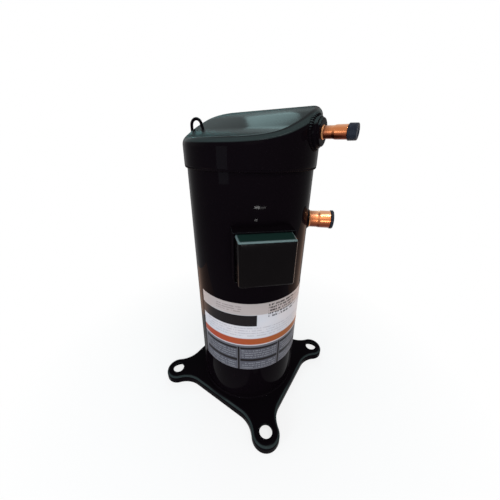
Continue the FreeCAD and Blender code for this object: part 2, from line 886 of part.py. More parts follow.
def lifting_lug(cap_solid):
    """A bent rod: one leg welded down the cap's wall, the other landing on the roof."""
    rod = dim.lug_rod_radius
    outer_leg = cap_radius + rod
    bend = (outer_leg - lug_inner_circle) / 2
    spring = dim.lug_top - rod - bend
    wall_end = dim.roof_shelf_height - dim.lug_weld_length
    arch = doc.addObject("Part::Torus", "lug_arch")
    bind(arch, "Radius1", bend)
    bind(arch, "Radius2", rod)
    arch.Angle3 = 180
    arch.Placement = Placement(Vector(0, 0, 0), Rotation(Vector(1, 0, 0), 90))
    bind(arch, "Placement.Base.x", lug_inner_circle + bend)
    bind(arch, "Placement.Base.z", spring)
    long_leg = cylinder("lug_wall_leg", rod, spring - wall_end, outer_leg, 0, wall_end)
    short_leg = cylinder(
        "lug_roof_leg", rod, spring - dim.roof_shelf_height, lug_inner_circle, 0, dim.roof_shelf_height
    )
    hook = fuse("lug_hook", [arch, long_leg, short_leg], turn=dim.lug_azimuth)
    node(cut("lug", hook, [cap_solid]), "lifting_lug")


# ---------------------------------------------------------------- muffler plate and fittings

def muffler_plate():
    """A dished plate held between shell and cap, with the seat for the floating seal."""
    gauge = dim.muffler_thickness
    rim = cap_bore - dim.muffler_rim_gap
    land = rim - dim.muffler_rim_width
    plate = turned(
        "muffler",
        [
            (rim, dim.shell_top),
            (rim, dim.shell_top + gauge),
            (land - gauge / 2, dim.shell_top + gauge),
            (muffler_floor_radius - gauge / 2, muffler_floor + gauge),
            (dim.muffler_hole_radius, muffler_floor + gauge),
            (dim.muffler_hole_radius, muffler_floor),
            (muffler_floor_radius, muffler_floor),
            (land, dim.shell_top),
        ],
    )
    bore_depth = dim.muffler_thickness + dim.tool_overrun
    hole = cylinder(
        "relief_hole", dim.relief_shank_radius, bore_depth, dim.relief_circle, 0, muffler_floor - dim.tool_overrun / 2
    )
    turned_hole = group("relief_hole_turned", [hole], turn=dim.relief_azimuth)
    node(cut("muffler_drilled", plate, [turned_hole]), "muffler_plate")


def relief_valve():
    """The pressure relief valve, a hexagon body screwed through the muffler plate."""
    seat = muffler_floor + dim.muffler_thickness
    hexagon = doc.addObject("Part::Prism", "relief_hexagon")
    hexagon.Polygon = 6
    bind(hexagon, "Circumradius", dim.relief_hex_radius)
    bind(hexagon, "Height", dim.relief_height)
    put(hexagon, dim.relief_circle, 0, seat)
    shank = cylinder(
        "relief_shank", dim.relief_shank_radius, dim.muffler_thickness, dim.relief_circle, 0, muffler_floor
    )
    node(fuse("relief", [hexagon, shank], turn=dim.relief_azimuth), "relief_valve")


def discharge_group(cap_solid):
    """The fitting through the cap's wall with its check valve, and the copper tube and plug."""
    turn, height = dim.discharge_azimuth, dim.discharge_height
    start = fitting_inner_end
    seat_end = start + dim.valve_seat_thickness
    disc_start = seat_end + dim.valve_gap
    disc_end = disc_start + dim.valve_disc_thickness
    chamber_end = disc_end + dim.valve_travel + dim.valve_gap
    socket = fitting_face - dim.discharge_socket
    bore = dim.discharge_tube_radius - dim.discharge_tube_wall
    barrel = turned(
        "fitting_barrel",
        [
            (start, dim.valve_chamber_radius),
            (chamber_end, dim.valve_chamber_radius),
            (chamber_end, bore),
            (socket, bore),
            (socket, dim.discharge_tube_radius),
            (fitting_face, dim.discharge_tube_radius),
            (fitting_face, dim.fitting_radius),
            (start, dim.fitting_radius),
        ],
        "H_Axis",
    )
    put(barrel, z=height)
    collar = tube_along_x(
        "fitting_collar",
        dim.fitting_radius - 1,
        dim.fitting_collar_radius,
        cap_radius - dim.fitting_collar_root,
        fitting_collar_face,
    )
    put(collar, z=height)
    turned_collar = group("fitting_collar_turned", [collar], turn=turn)
    turned_barrel = group("fitting_barrel_turned", [barrel], turn=turn)
    seated = cut("fitting_collar_seated", turned_collar, [cap_solid])
    node(fuse("fitting", [turned_barrel, seated]), "discharge_fitting")

    seat = cylinder_along_x("valve_seat_blank", dim.valve_chamber_radius, start, seat_end)
    ports = []
    for i in range(4):
        angle = sized(45 + 90 * i)
        y = dim.valve_port_circle * cos(angle)
        z = dim.valve_port_circle * sin(angle)
        ports.append(cylinder_along_x("valve_port_%d" % i, dim.valve_port_radius, start - 1, seat_end + 1, y, z))
    node(cut("valve_seat", seat, ports, turn, height), "discharge_valve_seat")

    disc = tube_along_x("valve_disc", dim.valve_disc_hole, dim.valve_disc_radius, disc_start, disc_end)
    node(put(disc, z=height, turn=turn), "discharge_valve_disc")

    tube = stub("copper_discharge", dim.discharge_tube_radius, dim.discharge_bell_radius, dim.discharge_tube_wall,
                socket, discharge_reach, dim.discharge_bell_length)
    node(put(tube, z=height, turn=turn), "discharge_tube")
    plug = bung("discharge_bung", dim.discharge_bell_radius, dim.discharge_tube_wall, discharge_reach,
                dim.discharge_plug_rim, dim.discharge_plug_head)
    node(put(plug, z=height, turn=turn), "discharge_plug")


def stub(name, radius, bell, wall, start, reach, bell_length):
    """A copper stub whose end is swaged out into a socket for the line."""
    flare = reach - bell_length
    neck = flare - dim.swage_length
    corners = [
        (start, radius - wall),
        (neck, radius - wall),
        (flare, bell - wall),
        (reach, bell - wall),
        (reach, bell),
        (flare, bell),
        (neck, radius),
        (start, radius),
    ]
    return turned(name, corners, "H_Axis")


def bung(name, bell, wall, reach, rim, head):
    """A soft plug: a shank inside the swaged socket and a head that covers the end."""
    shank = bell - wall - dim.plug_bore_gap
    face = reach + dim.plug_gap
    tip = face - dim.plug_shank_length
    corners = [
        (tip, 0),
        (face + head, 0),
        (face + head, bell + rim),
        (face, bell + rim),
        (face, shank),
        (tip + dim.plug_lead, shank),
        (tip, shank - dim.plug_lead / 2),
    ]
    return turned(name, corners, "H_Axis")


def suction_group():
    """The steel collar, the copper tube and its plug on the shell's side, and the deflector behind them."""
    turn, height = dim.suction_azimuth, dim.suction_height
    collar = tube_along_x(
        "suction_collar_blank",
        dim.suction_tube_radius,
        dim.suction_collar_radius,
        shell_bore - dim.suction_collar_root,
        suction_collar_face,
    )
    put(collar, z=height)
    around = cylinder("suction_collar_seat", dim.shell_radius, dim.shell_top)
    node(cut("suction_collar", collar, [around], turn), "suction_fitting")

    tube = stub("copper_suction", dim.suction_tube_radius, dim.suction_bell_radius, dim.suction_tube_wall,
                shell_bore - dim.suction_intrusion, suction_reach, dim.suction_bell_length)
    node(put(tube, z=height, turn=turn), "suction_tube")
    plug = bung("suction_bung", dim.suction_bell_radius, dim.suction_tube_wall, suction_reach,
                dim.suction_plug_rim, dim.suction_plug_head)
    node(put(plug, z=height, turn=turn), "suction_plug")

    bottom = height - dim.baffle_height / 2
    inner = shell_bore - dim.baffle_stand_off - dim.baffle_wall
    face = sector("baffle_face", inner, inner + dim.baffle_wall, bottom, dim.baffle_height, turn, dim.baffle_sweep)
    flanges = []
    for i, side in enumerate((-1, 1)):
        middle = turn + (dim.baffle_sweep - dim.baffle_flange_angle) / 2 * side
        name = "baffle_flange_%d" % i
        flanges.append(sector(name, inner, shell_bore, bottom, dim.baffle_height, middle, dim.baffle_flange_angle))
    node(fuse("baffle", [face] + flanges), "suction_baffle")


# ---------------------------------------------------------------- terminal box

def terminal_fence():
    """A sheet-steel frame welded round the terminal, with the tab for the earth screw."""
    half = dim.fence_width / 2
    rise = dim.fence_height / 2
    wall = dim.fence_wall
    middle = dim.terminal_height
    start = terminal_flat - dim.tool_overrun / 2
    outside = box("fence_outside", (start, -half, middle - rise), (fence_face, half, middle + rise))
    low = (start - 1, wall - half, middle - rise + wall)
    high = (fence_face + 1, half - wall, middle + rise - wall)
    inside = box("fence_inside", low, high)
    entry = cylinder(
        "cable_entry",
        dim.cable_entry_radius,
        dim.tool_overrun / 2,
        cable_entry_reach,
        -dim.cable_entry_offset,
        middle - rise - dim.tool_overrun / 4,
    )
    frame = cut("fence_frame", outside, [inside, entry, shell_envelope("fence_seat")])
    side, top = half - wall, middle + rise - wall
    tab_low = (ground_tab_face - dim.ground_tab_thickness, side - dim.ground_tab_side, top - dim.ground_tab_side)
    tab = box("ground_tab", tab_low, (ground_tab_face, side, top))
    centre = dim.ground_tab_side / 2
    hole = cylinder_along_x(
        "ground_hole",
        dim.ground_shank_radius,
        terminal_flat,
        fence_face,
        side - centre,
        top - centre,
    )
    drilled = cut("ground_tab_drilled", tab, [hole])
    node(fuse("fence", [frame, drilled], turn=dim.terminal_azimuth), "terminal_fence")

    head_top = ground_tab_face + dim.ground_head_height
    tip = ground_tab_face - dim.ground_shank_length
    screw = turned(
        "earth_screw",
        [
            (tip, 0),
            (head_top, 0),
            (head_top, dim.ground_head_radius),
            (ground_tab_face, dim.ground_head_radius),
            (ground_tab_face, dim.ground_shank_radius),
            (tip, dim.ground_shank_radius),
        ],
        "H_Axis",
    )
    put(screw, 0, side - centre, top - centre)
    node(group("earth_screw_turned", [screw], turn=dim.terminal_azimuth), "ground_screw")


def cover_profile(body, name, half, rise):
    """A rectangle square to X at the cover's rear edge."""
    sketch = new_sketch(body, name, "YZ_Plane")
    outline(sketch, [(-half, -rise), (half, -rise), (half, rise), (-half, rise)])
    sketch.AttachmentOffset = Placement(Vector(0, 0, cover_rear.number), Rotation())
    bind(sketch, "AttachmentOffset.Base.z", cover_rear)
    return sketch


def terminal_cover():
    """A moulded cover with drafted walls and rounded edges that slides into the fence."""
    body = new_body("cover")
    half = dim.fence_width / 2 - dim.fence_wall - dim.cover_gap
    rise = dim.fence_height / 2 - dim.fence_wall - dim.cover_gap
    wall = dim.cover_wall
    depth = cover_face - cover_rear
    block = body.newObject("PartDesign::Pad", "cover_block")
    block.Profile = cover_profile(body, "cover_outline", half, rise)
    bind(block, "Length", depth)
    bind(block, "TaperAngle", -dim.cover_draft_angle)
    doc.recompute()
    back = cover_rear.number + EDGE_LIMIT
    edges = edges_where(body.Shape, lambda edge: edge.BoundBox.XMax > back)
    fillet(body, "cover_edges", dim.cover_corner, edges)
    hollow = body.newObject("PartDesign::Pocket", "cover_hollow")
    hollow.Profile = cover_profile(body, "cover_cavity", half - wall, rise - wall)
    hollow.Reversed = True
    bind(hollow, "Length", depth - wall)
    bind(hollow, "TaperAngle", -dim.cover_draft_angle)
    node(put(body, z=dim.terminal_height, turn=dim.terminal_azimuth), "terminal_cover")


def terminal_feedthrough():
    """The steel cup welded in the flat, its glass beads and its three pins."""
    turn, height = dim.terminal_azimuth, dim.terminal_height
    flat = terminal_flat
    floor = flat + dim.terminal_flange_thickness - dim.terminal_cup_depth
    wall = dim.terminal_cup_wall
    cup = turned(
        "terminal_cup",
        [
            (floor, 0),
            (floor + wall, 0),
            (floor + wall, dim.terminal_cup_radius - wall),
            (flat + dim.terminal_flange_thickness, dim.terminal_cup_radius - wall),
            (flat + dim.terminal_flange_thickness, dim.terminal_flange_radius),
            (flat, dim.terminal_flange_radius),
            (flat, dim.terminal_cup_radius),
            (floor, dim.terminal_cup_radius),
        ],
        "H_Axis",
    )
    places = []
    for i in range(3):
        angle = sized(90 + 120 * i)
        places.append((dim.terminal_pin_circle * cos(angle), dim.terminal_pin_circle * sin(angle)))
    holes = []
    beads = []
    pins = []
    for i, (y, z) in enumerate(places):
        hole = cylinder_along_x("bead_hole_%d" % i, dim.terminal_glass_radius, floor - 1, floor + wall + 1, y, z)
        holes.append(hole)
        bead = tube_along_x(
            "bead_%d" % i, dim.terminal_pin_radius, dim.terminal_glass_radius, floor, floor + wall
        )
        beads.append(put(bead, 0, y, z))
        pin = cylinder_along_x(
            "pin_%d" % i, dim.terminal_pin_radius, terminal_pin_inside, terminal_pin_outside, y, z
        )
        pins.append(pin)
    node(cut("terminal_cup_drilled", cup, holes, turn, height), "terminal_body")
    node(group("beads", beads, turn, height), "terminal_glass")
    node(group("pins", pins, turn, height), "terminal_pins")
    leads = []
    for i, (y, z) in enumerate(places):
        leads.append(motor_lead(i, y, height + z))
    node(group("leads", leads, turn), "motor_leads")


def motor_lead(index, y, top):
    """One insulated lead from a terminal pin down the side of the upper end turns."""
    foot = stator_top + dim.lead_landing
    reach = terminal_pin_inside - dim.lead_radius
    return cylinder("lead_%d" % index, dim.lead_radius, top + dim.lead_radius - foot, reach, y, foot)


# ---------------------------------------------------------------- scroll set

def wrap_solid(bottom, turn):
    """One spiral wall with a round inner tip, unwound from a many-sided post instead of a circle.

    Each side of the post gives one arc about its corner, so both flanks are tangent arcs and the wall
    keeps the same thickness all the way round."""
    sides = int(dim.wrap_sides.number)
    step = 2 * math.pi / sides
    side = base_circle.number * step
    post = side / (2 * math.sin(step / 2))
    half = dim.wrap_thickness.number / 2

    def flank_point(arc, angle, offset):
        corner = Vector(post * math.cos(arc * step), post * math.sin(arc * step), 0)
        return corner + Vector(math.sin(angle), -math.cos(angle), 0) * (arc * side + offset)

    arcs = range(int(dim.wrap_first_arc.number), int(dim.wrap_last_arc.number) + 1)
    flanks = []
    for offset in (half, -half):
        flanks.append([
            [flank_point(arc, (arc + share) * step, offset) for share in (-0.5, 0, 0.5)]
            for arc in arcs
        ])
    outer, inner = flanks
    edges = [Part.Arc(*stops).toShape() for stops in outer]
    edges.append(Part.LineSegment(outer[-1][2], inner[-1][2]).toShape())
    edges += [Part.Arc(*reversed(stops)).toShape() for stops in reversed(inner)]
    first = (arcs[0] - 0.5) * step
    nose = (outer[0][0] + inner[0][0]) * 0.5 - Vector(math.cos(first), math.sin(first), 0) * half
    edges.append(Part.Arc(inner[0][0], nose, outer[0][0]).toShape())
    wall = Part.Face(Part.Wire(edges)).extrude(Vector(0, 0, dim.wrap_height.number))
    wall.translate(Vector(0, 0, bottom.number))
    wall.rotate(Vector(0, 0, 0), Vector(0, 0, 1), turn)
    return wall


def wrap(name, bottom, turn):
    """The spiral wall as an object."""
    made = doc.addObject("Part::Feature", name)
    made.Shape = wrap_solid(bottom, turn)
    return made


def orbiting_scroll():
    """The driven scroll: a plate, its spiral, the hub below and two key slots; it sits one crank throw off centre."""
    plate = turned(
        "orbiting_blank",
        [
            (0, orbiting_bottom),
            (dim.bushing_radius + dim.running_gap + dim.hub_bearing_wall, orbiting_bottom),
            (dim.bushing_radius + dim.running_gap + dim.hub_bearing_wall, orbiting_bottom - dim.orbiting_hub_depth),
            (dim.orbiting_hub_radius, orbiting_bottom - dim.orbiting_hub_depth),
            (dim.orbiting_hub_radius, orbiting_bottom),
            (orbiting_plate_radius, orbiting_bottom),
            (orbiting_plate_radius, orbiting_top),
            (0, orbiting_top),
        ],
    )
    spiral = wrap("orbiting_wrap", orbiting_top, 180)
    half = dim.oldham_key_width / 2 + eccentricity + dim.oldham_gap
    reach = oldham_key_inner - eccentricity - dim.oldham_gap
    roof = orbiting_bottom + dim.oldham_key_height - dim.thrust_gap + dim.oldham_gap
    slots = []
    for i, side in enumerate((-1, 1)):
        near, far = reach * side, (orbiting_plate_radius + 5) * side
        low, high = (near, far) if side > 0 else (far, near)
        slots.append(box("orbiting_slot_%d" % i, (low, -half, orbiting_bottom - 1), (high, half, roof)))
    keyed = cut("orbiting_keyed", plate, slots)
    node(put(fuse("orbiting", [keyed, spiral]), eccentricity), "orbiting_scroll")
    inner = dim.bushing_radius + dim.running_gap
    top = orbiting_bottom - dim.flank_gap
    bearing = ring("hub_bearing", inner, inner + dim.hub_bearing_wall, orbiting_bottom - dim.orbiting_hub_depth, top)
    node(put(bearing, eccentricity), "orbiting_hub_bearing")


def post_holes(name, radius, bottom, height):
    """Upright cylinders at the four guide bolts."""
    made = []
    for i, azimuth in enumerate(post_azimuths):
        x = post_circle * cos(azimuth)
        y = post_circle * sin(azimuth)
        made.append(cylinder("%s_%d" % (name, i), radius, height, x, y, bottom))
    return made


def non_orbiting_scroll():
    """The scroll that only floats up and down: spiral, outer wall, four guide lugs and the seal recess on top."""
    hub_top = fixed_top + dim.fixed_hub_height
    rim_top = fixed_top + dim.recess_rim_height
    wall_bottom = orbiting_top + dim.tip_gap
    blank = turned(
        "fixed_blank",
        [
            (dim.fixed_port_radius, fixed_bottom),
            (fixed_wall_bore, fixed_bottom),
            (fixed_wall_bore, wall_bottom),
            (fixed_wall_radius, wall_bottom),
            (fixed_wall_radius, fixed_top),
            (recess_rim_radius, fixed_top),
            (recess_rim_radius, rim_top),
            (recess_radius, rim_top),
            (recess_radius, fixed_top),
            (dim.fixed_hub_radius, fixed_top),
            (dim.fixed_hub_radius, hub_top),
            (dim.fixed_port_radius, hub_top),
        ],
    )
    lugs = []
    outer = shell_bore - dim.housing_shell_gap * 10
    for i, azimuth in enumerate(post_azimuths):
        name = "fixed_lug_%d" % i
        lugs.append(
            sector(name, fixed_wall_radius - 2, outer, fixed_bottom, dim.lug_thickness, azimuth, dim.lug_sweep)
        )
    tools = post_holes("lug_hole", dim.sleeve_radius + dim.sleeve_side_gap, fixed_bottom - 1, dim.lug_thickness + 2)
    half = dim.inlet_width / 2
    window = box(
        "inlet_window",
        (-fixed_wall_radius - 5, -half, wall_bottom - 1),
        (fixed_wall_radius + 5, half, wall_bottom + dim.inlet_height),
    )
    core = cylinder("inlet_core", fixed_wall_bore, dim.wrap_height + dim.tool_overrun, z=wall_bottom - 10)
    inlet = cut("inlet", window, [core], turn=dim.suction_azimuth)
    spiral = wrap("fixed_wrap", wall_bottom, 0)
    machined = cut("fixed_machined", fuse("fixed_casting", [blank] + lugs), tools + [inlet])
    node(fuse("fixed", [machined, spiral]), "non_orbiting_scroll")


def floating_seal():
    """Two rings that clamp an inner and an outer lip, free to rise in the recess."""
    inner = dim.fixed_hub_radius + dim.seal_side_gap
    outer = recess_radius - dim.seal_side_gap
    bottom = fixed_top + dim.seal_gap
    clamp = bottom + dim.seal_base_thickness
    lip_top = clamp + dim.seal_lip_thickness
    node(ring("seal_base", inner, outer, bottom, clamp), "floating_seal_base")
    lip_in = dim.fixed_hub_radius + dim.seal_lip_gap
    lip_out = recess_radius - dim.seal_lip_gap
    node(ring("lip_inner", lip_in, lip_in + dim.seal_lip_width, clamp, lip_top), "seal_lip_inner")
    node(ring("lip_outer", lip_out - dim.seal_lip_width, lip_out, clamp, lip_top), "seal_lip_outer")
    crown = muffler_floor - dim.float_travel - dim.seal_travel - dim.seal_gap
    shoulder = lip_top + dim.seal_plate_thickness
    plate = turned(
        "seal_plate",
        [
            (lip_in + dim.seal_lip_width, clamp),
            (lip_out - dim.seal_lip_width, clamp),
            (lip_out - dim.seal_lip_width, lip_top),
            (outer, lip_top),
            (outer, shoulder),
            (inner + dim.seal_crown_width + 2, shoulder),
            (inner + dim.seal_crown_width, crown),
            (inner, crown),
            (inner, lip_top),
            (lip_in + dim.seal_lip_width, lip_top),
        ],
    )
    node(plate, "floating_seal_plate")


def oldham_ring():
    """The coupling ring: two keys below slide in the housing along Y, two above guide the orbiting scroll along X."""
    bottom = dim.housing_disc_top + dim.oldham_gap
    top = bottom + dim.oldham_thickness
    hoop = ring("oldham_hoop", oldham_bore, oldham_radius, bottom, top)
    half = dim.oldham_key_width / 2
    key_top = orbiting_bottom + dim.oldham_key_height - dim.thrust_gap
    key_bottom = bottom - dim.oldham_key_height
    inner, outer = oldham_key_inner, oldham_key_outer
    keys = [
        box("key_east", (inner, -half, bottom), (outer, half, key_top)),
        box("key_west", (-outer, -half, bottom), (-inner, half, key_top)),
        box("key_north", (-half, inner, key_bottom), (half, outer, top)),
        box("key_south", (-half, -outer, key_bottom), (half, -inner, top)),
    ]
    node(fuse("oldham", [hoop] + keys), "oldham_ring")


# ---------------------------------------------------------------- bearings, crankshaft and motor

def main_bearing_housing():
    """The casting pressed in the shell: bearing hub, pocket for the orbiting hub, thrust ring and four posts."""
    bearing_radius = dim.main_journal_radius + dim.running_gap + dim.main_bearing_wall
    disc_bottom = dim.housing_disc_top - dim.housing_disc_thickness
    casting = turned(
        "housing_casting",
        [
            (bearing_radius, dim.housing_bottom),
            (dim.housing_hub_radius, dim.housing_bottom),
            (dim.housing_hub_radius, dim.housing_floor - 14),
            (dim.housing_bowl_radius, dim.housing_floor - 4),
            (dim.housing_bowl_radius, disc_bottom),
            (housing_disc_radius, disc_bottom),
            (housing_disc_radius, dim.housing_disc_top),
            (thrust_ring_radius, dim.housing_disc_top),
            (thrust_ring_radius, dim.thrust_height),
            (dim.housing_pocket_radius, dim.thrust_height),
            (dim.housing_pocket_radius, dim.housing_floor),
            (bearing_radius, dim.housing_floor),
        ],
    )
    outer = shell_bore - dim.housing_shell_gap
    posts = []
    for i, azimuth in enumerate(post_azimuths):
        name = "housing_post_%d" % i
        posts.append(
            sector(name, post_inner_radius, outer, dim.post_foot, post_top - dim.post_foot, azimuth, dim.post_sweep)
        )
    tools = post_holes("bolt_hole", dim.bolt_radius, post_top - dim.bolt_grip, dim.bolt_grip + 1)
    half = dim.oldham_key_width / 2 + dim.oldham_slot_gap
    near = oldham_key_inner - eccentricity - dim.oldham_gap
    far = oldham_key_outer + eccentricity + dim.oldham_gap
    for i, side in enumerate((-1, 1)):
        low, high = (near, far) if side > 0 else (-far, -near)
        tools.append(
            box("housing_slot_%d" % i, (-half, low, disc_bottom - 1), (half, high, dim.housing_disc_top + 1))
        )
    body = fuse("housing_body", [casting] + posts)
    node(cut("housing", body, tools), "main_bearing_housing")
    inner = dim.main_journal_radius + dim.running_gap
    node(ring("bearing_sleeve", inner, bearing_radius, dim.housing_bottom, dim.housing_floor), "main_bearing")


def guide_fasteners():
    """Four sleeves on the posts and the bolts through them; their heads stop the scroll's upward float."""
    sleeves = []
    bolts = []
    height = sleeve_top - post_top
    for i, azimuth in enumerate(post_azimuths):
        x = post_circle * cos(azimuth)
        y = post_circle * sin(azimuth)
        sleeve = ring("sleeve_%d" % i, dim.sleeve_bore, dim.sleeve_radius, post_top, sleeve_top)
        sleeves.append(put(sleeve, x, y))
        head = doc.addObject("Part::Prism", "bolt_head_%d" % i)
        head.Polygon = 6
        bind(head, "Circumradius", dim.bolt_head_radius)
        bind(head, "Height", dim.bolt_head_height)
        put(head, x, y, sleeve_top)
        shank = cylinder("bolt_shank_%d" % i, dim.bolt_radius, height + dim.bolt_grip, x, y, post_top - dim.bolt_grip)
        bolts.append(fuse("bolt_%d" % i, [head, shank]))
    node(group("sleeves", sleeves), "guide_sleeves")
    node(group("bolts", bolts), "guide_bolts")


def crankshaft():
    """The shaft with its offset pin, drive flat, oil bore and slanted oil hole, and the paddle that lifts the oil."""
    step = dim.shaft_bottom + dim.lower_journal_length
    journal_foot = dim.housing_bottom - 2
    shaft = turned(
        "shaft_turning",
        [
            (dim.oil_bore_radius, dim.shaft_bottom),
            (dim.lower_journal_radius, dim.shaft_bottom),
            (dim.lower_journal_radius, step),
            (dim.shaft_radius, step),
            (dim.shaft_radius, journal_foot),
            (dim.main_journal_radius, journal_foot),
            (dim.main_journal_radius, crank_bottom),
            (0, crank_bottom),
            (0, dim.shaft_bottom + dim.oil_bore_depth),
            (dim.oil_bore_radius, dim.shaft_bottom + dim.oil_bore_depth),
        ],
    )
    pin = cylinder("crank_pin_round", dim.crank_pin_radius, dim.crank_pin_length, eccentricity, 0, crank_bottom)
    far = dim.crank_pin_radius + 5
    flat_low = (eccentricity - far, dim.crank_pin_flat, crank_bottom)
    flat_high = (eccentricity + far, far, crank_bottom + dim.crank_pin_length + 1)
    pin_flat = box("crank_pin_flat_tool", flat_low, flat_high)
    offset_pin = cut("crank_pin", pin, [pin_flat])
    hole = doc.addObject("Part::Cylinder", "slanted_oil_hole")
    bind(hole, "Radius", dim.oil_hole_radius)
    bind(hole, "Height", crank_bottom + dim.crank_pin_length + 5 - dim.shaft_bottom - dim.oil_bore_depth)
    hole.Placement = Placement(Vector(0, 0, 0), Rotation(Vector(0, 1, 0), dim.oil_hole_lean.number))
    bind(hole, "Placement.Rotation.Angle", dim.oil_hole_lean)
    bind(hole, "Placement.Base.x", dim.oil_bore_radius - dim.oil_hole_radius - 1)
    bind(hole, "Placement.Base.z", dim.shaft_bottom + dim.oil_bore_depth - 4)
    node(cut("crank", fuse("crank_blank", [shaft, offset_pin]), [hole]), "crankshaft")

    bottom = crank_bottom + dim.bushing_lift
    blank = cylinder("bushing_blank", dim.bushing_radius, dim.bushing_length, eccentricity, 0, bottom)
    bore = cylinder(
        "bushing_bore_round",
        dim.crank_pin_radius + dim.running_gap,
        dim.bushing_length + 2,
        eccentricity,
        0,
        bottom - 1,
    )
    flat = dim.crank_pin_flat + dim.running_gap
    keep = box(
        "bushing_flat",
        (eccentricity - far, flat, bottom - 2),
        (eccentricity + far, far, bottom + dim.bushing_length + 2),
    )
    node(cut("bushing", blank, [cut("bushing_bore", bore, [keep])]), "drive_bushing")

    half = dim.stirrer_thickness / 2
    side = dim.oil_bore_radius - dim.running_gap
    low = (-side, -half, dim.shaft_bottom + 2)
    node(box("paddle", low, (side, half, dim.shaft_bottom + 2 + dim.stirrer_length)), "oil_stirrer")


def motor():
    """Slotted stator with its windings, and the rotor with its end rings and the two balance weights."""
    body = new_body("stator")
    outer = shell_bore - dim.housing_shell_gap
    stack = new_sketch(body, "stator_stack", "XZ_Plane")
    low, high = dim.stator_bottom, stator_top
    outline(stack, [(dim.stator_bore, low), (outer, low), (outer, high), (dim.stator_bore, high)])
    laminations = body.newObject("PartDesign::Revolution", "stator_laminations")
    laminations.Profile = stack
    laminations.ReferenceAxis = (stack, ["V_Axis"])
    laminations.Angle = 360
    slot = new_sketch(body, "stator_slot", "XY_Plane")
    half, mouth = dim.slot_width / 2, dim.slot_mouth / 2
    outline(slot, [
        (dim.stator_bore - 1, -mouth),
        (dim.slot_inner, -mouth),
        (dim.slot_inner, -half),
        (slot_outer, -half),
        (slot_outer, half),
        (dim.slot_inner, half),
        (dim.slot_inner, mouth),
        (dim.stator_bore - 1, mouth),
    ])
    slot_cut = body.newObject("PartDesign::Pocket", "stator_slot_cut")
    slot_cut.Profile = slot
    slot_cut.Type = "ThroughAll"
    slot_cut.Midplane = True
    slots = body.newObject("PartDesign::PolarPattern", "stator_slots")
    slots.Originals = [slot_cut]
    slots.Axis = (slot, ["N_Axis"])
    slots.Angle = 360
    bind(slots, "Occurrences", dim.slot_count)
    body.Tip = slots
    reach = stator_flat * 2
    height = dim.stator_height + 2
    square = box(
        "stator_square",
        (-stator_flat, -stator_flat, dim.stator_bottom - 1),
        (stator_flat, stator_flat, stator_top + 1),
    )
    node(common("stator_flattened", [body, square]), "stator_core")
    windings()

    bore = dim.shaft_radius
    rotor_radius = dim.stator_bore - dim.air_gap
    node(ring("rotor", bore, rotor_radius, dim.stator_bottom, stator_top), "rotor_core")
    rings = []
    for i, bottom in enumerate((dim.stator_bottom - dim.end_ring_height, stator_top)):
        top = bottom + dim.end_ring_height
        rings.append(ring("end_ring_%d" % i, dim.end_ring_inner, dim.end_ring_outer, bottom, top))
    node(group("end_rings", rings), "rotor_end_rings")
    upper = stator_top + dim.end_ring_height
    node(
        sector("upper_weight", bore, dim.upper_weight_radius, upper, dim.upper_weight_height, 180, 180),
        "upper_counterweight",
    )
    lower = dim.stator_bottom - dim.end_ring_height - dim.lower_weight_height
    node(
        sector("lower_weight", bore, dim.lower_weight_radius, lower, dim.lower_weight_height, 0, 180),
        "lower_counterweight",
    )


def windings():
    """Copper in every slot, joined by the end turns above and below the core."""
    liner = dim.slot_liner
    bevel = dim.winding_bevel
    inner, outer = dim.winding_inner, winding_outer
    pieces = []
    spans = (
        ("upper", stator_top + dim.winding_gap, stator_top + dim.winding_rise),
        ("lower", dim.stator_bottom - dim.winding_drop, dim.stator_bottom - dim.winding_gap),
    )
    for name, bottom, top in spans:
        pieces.append(turned("end_turns_" + name, [
            (outer - bevel, bottom),
            (outer, bottom + bevel),
            (outer, top - bevel),
            (outer - bevel, top),
            (inner, top),
            (inner, bottom),
        ]))
    body = new_body("slot_copper")
    bar = new_sketch(body, "slot_bar", "XY_Plane")
    half = dim.slot_width / 2 - liner
    near = dim.winding_inner + bevel
    far = slot_outer - liner
    outline(bar, [(near, -half), (far, -half), (far, half), (near, half)])
    bar.AttachmentOffset = Placement(Vector(0, 0, (dim.stator_bottom - 1).number), Rotation())
    bind(bar, "AttachmentOffset.Base.z", dim.stator_bottom - 1)
    body.AllowCompound = True
    pad = body.newObject("PartDesign::Pad", "slot_bar_pad")
    pad.Profile = bar
    bind(pad, "Length", dim.stator_height + 2)
    bars = body.newObject("PartDesign::PolarPattern", "slot_bars")
    bars.Originals = [pad]
    bars.Axis = (bar, ["N_Axis"])
    bars.Angle = 360
    bind(bars, "Occurrences", dim.slot_count)
    body.Tip = bars
    node(fuse("copper", pieces + [body]), "stator_windings")

    rest = stator_top + dim.winding_rise
    radius = dim.protector_radius
    half = dim.protector_length / 2
    capsule = cylinder_along_x("protector_capsule", radius, -half, half, protector_circle, rest + radius)
    node(group("protector", [capsule], turn=dim.protector_azimuth), "motor_protector")


